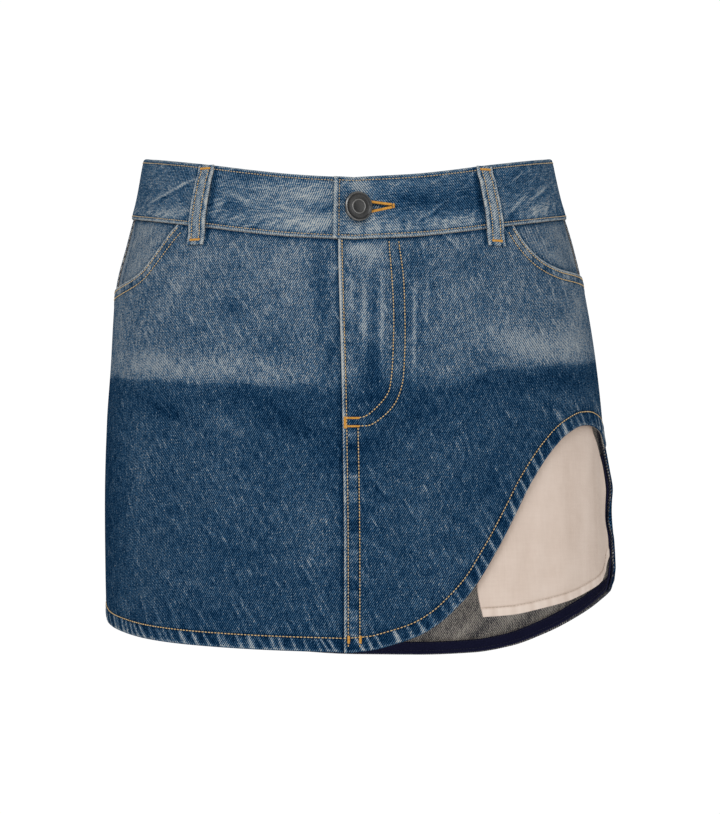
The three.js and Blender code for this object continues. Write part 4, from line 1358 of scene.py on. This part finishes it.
def bag(side, node_name):
    first, last = BAG_BOTTOM[0][0], BAG_BOTTOM[-1][0]
    angles = spaced(first, last, CELL, REFERENCE_Z)
    if side < 0:
        angles = -angles[::-1]

    def place(angle, z):
        part = (np.abs(angle) - first) / (last - first)
        return side * (bag_front(z) + (bag_side(z) - bag_front(z)) * part)

    def top(angle):
        return seam_below_band(angle) - BAG_TOP_DROP

    def bottom(angle):
        return bag_bottom(np.abs(angle))

    piece = panel(
        node_name + "_cloth", angles, top, bottom, bag_look, plain(COTTON), [COTTON_CLOTH, COTTON_CLOTH],
        place=place, middle=60 * side,
    )
    finish_piece(piece, node_name)


bag(1, "pocket_bag_left")
bag(-1, "pocket_bag_right")


# Waistband, with the buttonhole cut through its upper end.
def hole_outline(turn, z):
    """True where a place on the band lies in the buttonhole."""
    along = arc(turn, z) - arc(BUTTON_ANGLE, z)
    places, halves = zip(*BUTTONHOLE)
    half = np.interp(along, places, halves, left=-1, right=-1)
    return np.abs(z - BUTTON_Z - along * BUTTONHOLE_RISE) < half


def waistband():
    turns = spaced(LAP_END, UNDERLAP_END, CELL, -40, [(LAP_END, 12, 0.55)])
    upper, lower = np.array(EDGE_STEPS), BAND_HEIGHT - np.array(EDGE_STEPS[::-1])
    downs = np.concatenate([upper, np.arange(2.4, BAND_HEIGHT - 2.3, 0.95), lower])
    z = band_top(turns)[:, None] - downs
    turn = np.broadcast_to(turns[:, None], z.shape)
    offset, tone = band_look(turn, z)
    x = arc(turn, z)
    edge = np.minimum(np.minimum(downs, BAND_HEIGHT - downs)[None, :], side_distance(x))
    middle_turn = (turn[:-1, :-1] + turn[1:, 1:]) / 2
    middle_z = (z[:-1, :-1] + z[1:, 1:]) / 2
    holes = hole_outline(middle_turn, middle_z) & (middle_turn < 30)
    uv = np.stack([z - band_top(turn), -x], -1) * MM
    thick = np.full(z.shape, float(BAND_THICK))
    piece = shell("waistband_cloth", turn, z, offset, thick, edge, uv, tone, BAND_SIDES, holes)
    finish_piece(piece, "waistband")


waistband()


# Belt loops.
def loop_look(across, down):
    """Tone across and down a belt loop."""
    from_edge = LOOP_WIDTH / 2 - np.abs(across)
    ridge = np.sin(down / 1.5) * np.sin(down / 3.9 + across)
    tone = 0.64 + 0.34 * bump(from_edge - 0.5, 1.0) - 0.36 * bump(from_edge - 2.9, 0.75)
    tone = tone + 0.12 * bump(across, 1.8)
    return tone + 0.16 * ridge * bump(from_edge - 1.2, 1.6) + 0.07 * ridge


def loop_points(middle):
    path = np.array(LOOP_PATH)
    down = np.concatenate([[0, 0.12, 0.35, 0.7], np.arange(1.3, 53.4, 0.9), [53.9, 54.25, 54.48, 54.6]])
    out_at = curve(list(zip(path[:, 0] - path[0, 0], path[:, 1])))
    width = np.array([0, 0.12, 0.35, 0.7, 1.2, 2, 2.8, 3.6, 4.4, 5.3])
    across = np.concatenate([width - LOOP_WIDTH / 2, [0], (LOOP_WIDTH / 2 - width)[::-1]])
    top = float(band_top(middle)) - path[0, 0]
    degree = float(arc(middle + 0.5, top - 20) - arc(middle - 0.5, top - 20))
    angle = middle + across / degree
    return angle, across, down, out_at, top, degree


def loop_offset(across, down, out_at):
    from_edge = LOOP_WIDTH / 2 - np.abs(across)
    roll = -0.25 * bump(from_edge - 2.0, 0.8) + 0.12 * bump(across, 2)
    return out_at(down) + LOOP_THICK + roll


def belt_loop(place, middle):
    angle, across, down, out_at, top, degree = loop_points(middle)
    grid_angle = np.broadcast_to(angle[:, None], (len(angle), len(down)))
    grid_across = np.broadcast_to(across[:, None], grid_angle.shape)
    grid_down = np.broadcast_to(down, grid_angle.shape)
    z = top - grid_down
    offset = loop_offset(grid_across, grid_down, out_at)
    edge = np.minimum(LOOP_WIDTH / 2 - np.abs(grid_across), np.minimum(grid_down, down[-1] - grid_down))
    uv = np.stack([grid_across + middle * 3, z], -1) * MM
    thick = np.full(z.shape, float(LOOP_THICK))
    name = "belt_loop_" + place
    tone = loop_look(grid_across, grid_down + middle)
    piece = shell(name + "_cloth", grid_angle, z, offset, thick, edge, uv, tone, BAND_SIDES)
    finish_piece(piece, name)


for place, middle in LOOP_ANGLES.items():
    belt_loop(place, middle)


# Tapes inside the back's hem and free edge.
def tape_grid(name, node_name, angle, z):
    x = arc(angle, z)
    edge = np.minimum(nearest(x, z, row_line(x, z, 0))[0], nearest(x, z, row_line(x, z, -1))[0])
    start, end = (np.hypot(x - x[i], z - z[i]) for i in (0, -1))
    edge = np.minimum(edge, np.minimum(start, end))
    waver = 0.1 * np.sin(x / 2.1) * np.sin(x / 5.3)
    offset = -HEM_THICK - LAYER_GAP + waver - TAPE_EASE
    thick = np.full(z.shape, float(TAPE_THICK))
    uv = np.stack([x, z], -1) * MM
    piece = shell(name, angle, z, offset, thick, edge, uv, np.zeros(z.shape), [TAPE, TAPE])
    finish_piece(piece, node_name)


def hem_tape():
    angles = spaced(SIDE_SEAM + SEAM_HALF_GAP + 0.3, 360 - SIDE_SEAM - SEAM_HALF_GAP - 0.4, CELL, -320)
    steep = steepness(hem_back, angles, TAPE_STEEPEST)
    z = hem_back(angles)[:, None] + np.array(TAPE_ROWS) * steep[:, None]
    angle = np.broadcast_to(angles[:, None], z.shape)
    tape_grid("hem_tape_cloth", "hem_tape", angle, z)


def edge_tape():
    angles = SIDE_SEAM + SEAM_HALF_GAP + np.array(EDGE_TAPE_COLUMNS)
    z = np.broadcast_to(np.linspace(*EDGE_TAPE_ENDS, EDGE_TAPE_STEPS), (len(angles), EDGE_TAPE_STEPS))
    angle = np.broadcast_to(angles[:, None], z.shape)
    tape_grid("edge_tape_cloth", "edge_tape", angle, z)


hem_tape()
edge_tape()


# Button: a lathe with a dished back, a raised rim and one plain ring.
def button():
    radius = BUTTON_RADIUS
    profile = [
        (0, 1.7), (3.7, 1.6), (3.9, 1.64), (4.15, 1.88), (4.6, 1.94), (5.05, 1.88), (5.3, 1.64), (5.5, 1.6),
        (radius - 2.45, 1.5), (radius - 2.2, 1.55), (radius - 1.85, 1.98), (radius - 1.55, 2.14),
        (radius - 1.1, 2.16), (radius - 0.55, 1.98), (radius - 0.15, 1.55), (radius, 0.9),
        (radius - 0.15, 0.35), (radius - 0.7, -0.1), (radius - 2.6, -0.9), (SHANK_RADIUS + 0.3, -1.1),
        (SHANK_RADIUS + 0.05, -1.4), (SHANK_RADIUS, -BUTTON_STAND), (0, -BUTTON_STAND),
    ]
    sides = 96
    seat = cloth(BUTTON_ANGLE, BUTTON_Z, BAND_OUT - UNDERLAP_DIP + GAP)
    turn = math.radians(BUTTON_TURN)
    # The steps of the profile that are rubbed bare, in a lighter metal that also stands for their painted
    # highlight: the ring's and the rim's tops.
    rubbed_and_highlit = (3, 4, 12, 13)
    points, faces, indices = [], [], []
    for distance, rise in profile:
        lean = 0 if rise == -BUTTON_STAND else turn
        for k in range(sides):
            spin = 2 * math.pi * k / sides
            x, z, y = distance * math.cos(spin), distance * math.sin(spin), -rise
            turned_x = x * math.cos(lean) - y * math.sin(lean)
            turned_y = x * math.sin(lean) + y * math.cos(lean)
            points.append((seat[0] + turned_x, seat[1] - BUTTON_STAND + turned_y, seat[2] + z))
    for ring in range(len(profile) - 1):
        for k in range(sides):
            a, b = ring * sides + k, ring * sides + (k + 1) % sides
            faces.append((a, a + sides, b + sides, b))
            indices.append(1 if ring in rubbed_and_highlit else 0)
    piece = make_mesh("button_metal", points, faces, [METAL, RUBBED_AND_HIGHLIT_METAL], indices)
    mesh = piece.data
    bm = bmesh.new()
    bm.from_mesh(mesh)
    bmesh.ops.remove_doubles(bm, verts=bm.verts, dist=1e-6)
    bmesh.ops.recalc_face_normals(bm, faces=bm.faces)
    bm.to_mesh(mesh)
    bm.free()
    finish_piece(piece, "button")


button()


# Stitches: short threads, each a small tapered tube that dips into the cloth at both ends.
class Threads:
    def __init__(self):
        self.points, self.faces, self.uv = [], [], []
        self.count = 0

    def add(self, start, end, out, radius, sink=STITCH_SINK):
        """One thread from start to end, in millimetres, on a face whose way out is given."""
        way = end - start
        length = np.linalg.norm(way)
        if length < 1e-6:
            return
        way = way / length
        aside = np.cross(way, out)
        aside /= np.linalg.norm(aside)
        up = np.cross(aside, way)
        # Share of the way along, share of the radius, and rise in radii.
        rings = [
            (0.0, 0.45, -sink), (0.12, 0.85, 0.0), (0.5, 1.0, 0.35), (0.88, 0.85, 0.0), (1.0, 0.45, -sink),
        ]
        base = len(self.points)
        sides = 6
        for along, size, rise in rings:
            centre = start + way * length * along + up * radius * rise
            for k in range(sides):
                spin = 2 * math.pi * k / sides
                round_way = aside * math.cos(spin) + up * math.sin(spin) * 0.85
                self.points.append(centre + round_way * radius * size)
                self.uv.append(((self.count * 3.1 + length * along) * MM, radius * spin * MM))
        for ring in range(len(rings) - 1):
            for k in range(sides):
                a, b = base + ring * sides + k, base + ring * sides + (k + 1) % sides
                self.faces.append((a, b, b + sides, a + sides))
        self.faces.append(tuple(base + k for k in range(sides))[::-1])
        self.faces.append(tuple(base + (len(rings) - 1) * sides + k for k in range(sides)))
        self.count += 1

    def finish(self, name, material, node_name):
        piece = make_mesh(name, np.array(self.points), self.faces, [material], uv=np.array(self.uv))
        return piece


def outward(angle, z):
    near, far = cloth(angle, z, 0), cloth(angle, z, 1)
    way = far - near
    return way / np.linalg.norm(way, axis=-1, keepdims=True)


def stitch_row(threads, angles, heights, offset, pitch=2.4, radius=0.40, seed=0, inside=False):
    """A row of stitches along a line. offset gives the face's offset at angles and heights."""
    angles, heights = np.asarray(angles, float), np.asarray(heights, float)
    line = cloth(angles, heights, 0)
    along = np.concatenate([[0], np.cumsum(np.linalg.norm(np.diff(line, axis=0), axis=1))])
    random = np.random.default_rng(seed)
    count = max(1, int(along[-1] / pitch))
    starts = np.arange(count) * along[-1] / count + random.uniform(-0.1, 0.1, count)
    ends = starts + pitch * STITCH_FILL * random.uniform(0.92, 1.05, count)
    sign = -1 if inside else 1
    places = []
    for at in (starts, ends):
        angle, z = np.interp(at, along, angles), np.interp(at, along, heights)
        lift = offset(angle, z) + sign * radius * 0.45
        places.append((cloth(angle, z, lift), outward(angle, z) * sign))
    for (start, out), (end, _) in zip(zip(*places[0]), zip(*places[1])):
        threads.add(start, end, out, radius)


def bartack(threads, angle, z, width, height, offset, radius=0.34, seed=0):
    """A dense zigzag over a width and height, at an angle and height on the cloth."""
    random = np.random.default_rng(seed)
    degree = float(arc(angle + 0.5, z) - arc(angle - 0.5, z))
    upright = height > width
    length, thick = (height, width) if upright else (width, height)
    count = max(3, int(length / TACK_STEP))
    for k in range(count):
        at = (k / (count - 1) - 0.5) * length + random.uniform(-0.06, 0.06)
        lean = (0.35 if k % 2 else -0.35) * TACK_STEP
        ends = [(at - lean, -thick / 2), (at + lean, thick / 2)]
        if upright:
            ends = [(b, a) for a, b in ends]
        points = []
        for across, up in ends:
            where = angle + across / degree
            lift = float(offset(np.array([where]), np.array([z + up]))[0])
            points.append(cloth(where, z + up, lift + radius * 0.6))
        threads.add(*points, outward(angle, z), radius, sink=TACK_SINK)


def face_of(look):
    """Only the offset of a look."""

    def offset(angle, z):
        return look(angle, z)[0]

    return offset


def under_tape(angle, z):
    """Offset of the face of the tapes that is turned to the body."""
    return np.full(np.shape(z), -HEM_THICK - LAYER_GAP - TAPE_THICK - TAPE_EASE)


def offset_line(line_edge, start, end, distance, step=0.5):
    """Angles and heights of a line a distance above an edge, measured square to it."""
    angles = np.arange(start, end, step)
    flat = flat_line(angles, line_edge(angles))
    way = np.gradient(flat, axis=0)
    way /= np.linalg.norm(way, axis=1, keepdims=True)
    moved = flat + np.stack([-way[:, 1], way[:, 0]], -1) * distance
    height = moved[:, 1]
    wide = np.arange(start - 12, end + 12, 0.25)
    angle = np.array([np.interp(x, arc(wide, np.full(wide.shape, z)), wide) for x, z in moved])
    return angle, height


def hem_rows(gold):
    stitch_row(gold, *offset_line(hem_front_right, -90, -2.2, STITCH_ROW), FACE_RIGHT, seed=1)
    stitch_row(gold, *offset_line(arch, -2, 89.6, STITCH_ROW), FACE_LEFT, seed=2)
    stitch_row(gold, *offset_line(hem_back, 96, 269.3, STITCH_ROW), FACE_BACK, seed=3)
    free = np.linspace(-203, -292, 60)
    stitch_row(gold, SIDE_SEAM + FREE_EDGE_ROW / DEGREE_AT_SIDE + free * 0, free, FACE_BACK, seed=4)


def fly_rows(gold):
    """The fly and the centre-front seam below it."""
    edge_z = np.linspace(-67, -340, 120)
    beside = fly_edge(edge_z) + SEAM_STITCH / DEGREE_AT_FLY
    stitch_row(gold, beside, edge_z, FACE_LEFT, seed=5, pitch=2.2, radius=0.38)
    seam_z = np.linspace(-193.5, -340, 80)
    stitch_row(gold, fly_edge(seam_z) + SEAM_SECOND / DEGREE_AT_FLY, seam_z, FACE_LEFT, seed=6, pitch=2.2)
    for rows, seed in ((FLY_INNER, 7), (FLY_OUTER, 8)):
        stitch_row(gold, *table_line(rows), FACE_LEFT, seed=seed, pitch=2.2)


def mouth_rows(gold):
    for mouth, start, sign, look, seed in (
        (pocket_left, POCKET_LEFT[0][0], 1, FACE_LEFT, 9),
        (pocket_right, POCKET_RIGHT[0][0], -1, FACE_RIGHT, 11),
    ):
        for distance in MOUTH_ROWS:
            angle, height = offset_line(mouth, start + 0.2, 90.2, -distance)
            keep = (height < seam_below_band(angle) - 0.5) & (angle < 90.3)
            row_seed = seed + int(distance)
            stitch_row(gold, sign * angle[keep], height[keep], look, seed=row_seed, pitch=2.1, radius=0.38)


def centre_back_rows(gold):
    back_z = np.linspace(-50, -344, 120)
    for distance, seed in zip(BACK_ROWS, (15, 16)):
        stitch_row(gold, 180 + distance / DEGREE_AT_FLY + back_z * 0, back_z, FACE_BACK, seed=seed)


def band_rows(tan):
    turns = np.arange(LAP_END + 1.2, 359, 1.0)
    stitch_row(tan, turns, band_top(turns) - BAND_TOP_ROW, FACE_BAND, seed=17, pitch=2.2, radius=0.36)
    stitch_row(tan, turns, band_bottom(turns) + BAND_BOTTOM_ROW, FACE_BAND, seed=18, pitch=2.2, radius=0.36)
    ends = np.linspace(-27, -64.5, 24)
    lap = LAP_END + LAP_ROW / DEGREE_AT_LAP + ends * 0
    stitch_row(tan, lap, ends, FACE_BAND, seed=19, pitch=2.1, radius=0.36)


def loop_rows(gold, orange):
    """Two rows down each belt loop, and a tack at each of its ends."""
    for middle in LOOP_ANGLES.values():
        out_at, top, degree = loop_points(middle)[3:]

        def strap(angle, z, middle=middle, top=top, degree=degree, out_at=out_at):
            return loop_offset((angle - middle) * degree, top - z, out_at)

        heights = top - np.linspace(1.5, 53, 40)
        for side in (-LOOP_ROW, LOOP_ROW):
            angles, seed = middle + side / degree + heights * 0, 20 + int(side)
            stitch_row(gold, angles, heights, strap, seed=seed, pitch=2.1, radius=0.38)
        for down_at in (2.4, 51.2):
            bartack(orange, middle, top - down_at, 7.6, 1.6, strap, seed=int(down_at))


def tacks(orange):
    """Tacks on the fly and at the foot of the centre-front seam: angle, height, width, height and seed."""
    for angle, z, width, height, seed in (
        (-1.9, -190, 1.9, 7.4, 31),
        (-0.2, -186.9, 8.4, 1.5, 32),
        (-0.2, -192.4, 8.4, 1.5, 33),
        (-1.1, -334.5, 1.9, 4.2, 34),
        (1.4, -334.5, 1.9, 4.2, 34),
    ):
        bartack(orange, angle, z, width, height, FACE_LEFT, seed=seed)


def buttonhole_threads(orange):
    degree = float(arc(BUTTON_ANGLE + 0.5, BUTTON_Z) - arc(BUTTON_ANGLE - 0.5, BUTTON_Z))
    hole = curve(BUTTONHOLE)
    out = outward(BUTTON_ANGLE, BUTTON_Z)
    for along in np.arange(6.0, 22.2, 0.5):
        for side in (-1, 1):
            half = float(hole(along))
            points = []
            for reach in (-0.3, 1.45):
                z = BUTTON_Z + along * BUTTONHOLE_RISE + side * (half + reach)
                where = BUTTON_ANGLE + (along + 0.3 * reach) / degree
                lift = float(FACE_BAND(np.array([where]), np.array([z]))[0])
                points.append(cloth(where, z, lift + 0.2))
            orange.add(*points, out, 0.33, sink=0.5)
    end = BUTTON_ANGLE + 23.6 / degree
    bartack(orange, end, BUTTON_Z + 1.2, 1.6, 2.6, FACE_BAND, radius=0.3, seed=35)


def inner_rows(navy, cream):
    """The tape's two rows and the seams of the pocket bags."""
    turns = np.arange(91.6, 269, 0.8)
    for distance, seed in ((2.9, 41), (8.6, 42)):
        stitch_row(navy, turns, hem_back(turns) + distance, under_tape, seed=seed, inside=True, radius=0.22)
    angle, height = offset_line(bag_bottom, BAG_BOTTOM[0][0] + 0.5, BAG_BOTTOM[-1][0] - 0.5, BAG_SEAM)
    for side, seed in ((1, 43), (-1, 44)):
        stitch_row(cream, side * angle, height, face_of(bag_look), seed=seed, pitch=2.6, radius=0.22)


def sew():
    gold, tan, orange, navy, cream = (Threads() for _ in range(5))
    hem_rows(gold)
    fly_rows(gold)
    mouth_rows(gold)
    centre_back_rows(gold)
    band_rows(tan)
    loop_rows(gold, orange)
    tacks(orange)
    buttonhole_threads(orange)
    inner_rows(navy, cream)
    gold.finish("gold_stitches", GOLD, "front_panel_left")
    tan.finish("tan_stitches", TAN, "waistband")
    orange.finish("orange_tacks", ORANGE, "waistband")
    navy.finish("navy_stitches", NAVY, "hem_tape")
    cream.finish("cream_stitches", CREAM, "pocket_bag_left")


FACE_BAND = face_of(band_look)
FACE_RIGHT = face_of(front_right_look)
FACE_LEFT = face_of(front_left_look)
FACE_BACK = face_of(back_look)
sew()


# Floor, backdrop, light and camera, in metres and watts.
FLOOR_Z = -0.78
FLOOR_RADIUS = 3.4
BACKDROP_RADIUS = 9
WORLD_STRENGTH = 0.62
LAMP_AIM = (0, 0, -0.18)
LAMPS = [
    ("key", (-0.8, -2.3, 1.0), 1.3, 27),
    ("fill", (1.2, -2.3, 0.1), 1.3, 13),
    ("rear", (0.2, 2.5, 0.8), 1.5, 30),
]
CAMERA_PLACE = (0.0042, -2.4, -0.300)
CAMERA_AIM = (0.0042, 0, -0.1736)
SENSOR_MM = 36
LENS_MM = 151.83


def facing_way(place, aim):
    """Rotation of a lamp or camera at a place that looks at an aim."""
    return (Vector(aim) - Vector(place)).to_track_quat("-Z", "Y").to_euler()


def stage():
    floor = bpy.data.materials.new("pale_floor")
    floor.use_nodes = True
    tree = floor.node_tree
    place = node(tree, "TexCoord").outputs["Object"]
    grain = node(tree, "TexNoise", {"Vector": place, "Scale": 3.0, "Detail": 3.0}).outputs[0]
    shader = tree.nodes["Principled BSDF"]
    paint(tree, shader, grain, [(0.3, (0.86, 0.86, 0.86)), (0.7, (0.9, 0.9, 0.9))])
    shader.inputs["Roughness"].default_value = 0.9
    place = (0, 0, FLOOR_Z)
    bpy.ops.mesh.primitive_circle_add(vertices=64, radius=FLOOR_RADIUS, fill_type="NGON", location=place)
    disc = bpy.context.object
    disc.name = "floor"
    disc.data.materials.append(floor)

    world = bpy.data.worlds.new("studio")
    bpy.context.scene.world = world
    world.use_nodes = True
    background = world.node_tree.nodes["Background"]
    background.inputs[0].default_value = (1, 1, 1, 1)
    background.inputs[1].default_value = WORLD_STRENGTH

    # A white backdrop all round, which is seen but gives no light.
    white = bpy.data.materials.new("white_backdrop")
    white.use_nodes = True
    glow = white.node_tree.nodes["Principled BSDF"]
    glow.inputs["Base Color"].default_value = (0, 0, 0, 1)
    glow.inputs["Emission Color"].default_value = (1, 1, 1, 1)
    glow.inputs["Emission Strength"].default_value = 1.0
    bpy.ops.mesh.primitive_uv_sphere_add(segments=48, ring_count=24, radius=BACKDROP_RADIUS)
    backdrop = bpy.context.object
    backdrop.name = "backdrop"
    backdrop.data.materials.append(white)
    white.cycles.emission_sampling = "NONE"
    for ray in ("diffuse", "glossy", "shadow", "transmission"):
        setattr(backdrop, "visible_" + ray, False)

    for name, place, size, power in LAMPS:
        lamp = bpy.data.lights.new(name, "AREA")
        lamp.size = size
        lamp.energy = power
        light = bpy.data.objects.new(name, lamp)
        light.location = place
        light.rotation_euler = facing_way(place, LAMP_AIM)
        bpy.context.scene.collection.objects.link(light)

    lens = bpy.data.cameras.new("camera")
    camera = bpy.data.objects.new("camera", lens)
    camera.location = CAMERA_PLACE
    camera.rotation_euler = facing_way(CAMERA_PLACE, CAMERA_AIM)
    lens.sensor_width = SENSOR_MM
    lens.lens = LENS_MM
    bpy.context.scene.collection.objects.link(camera)
    bpy.context.scene.camera = camera
    bpy.context.scene.view_settings.view_transform = "Standard"
    # The weave is finer than the noise filter keeps when it smooths its own guides.
    bpy.context.scene.cycles.denoising_prefilter = "NONE"


stage()
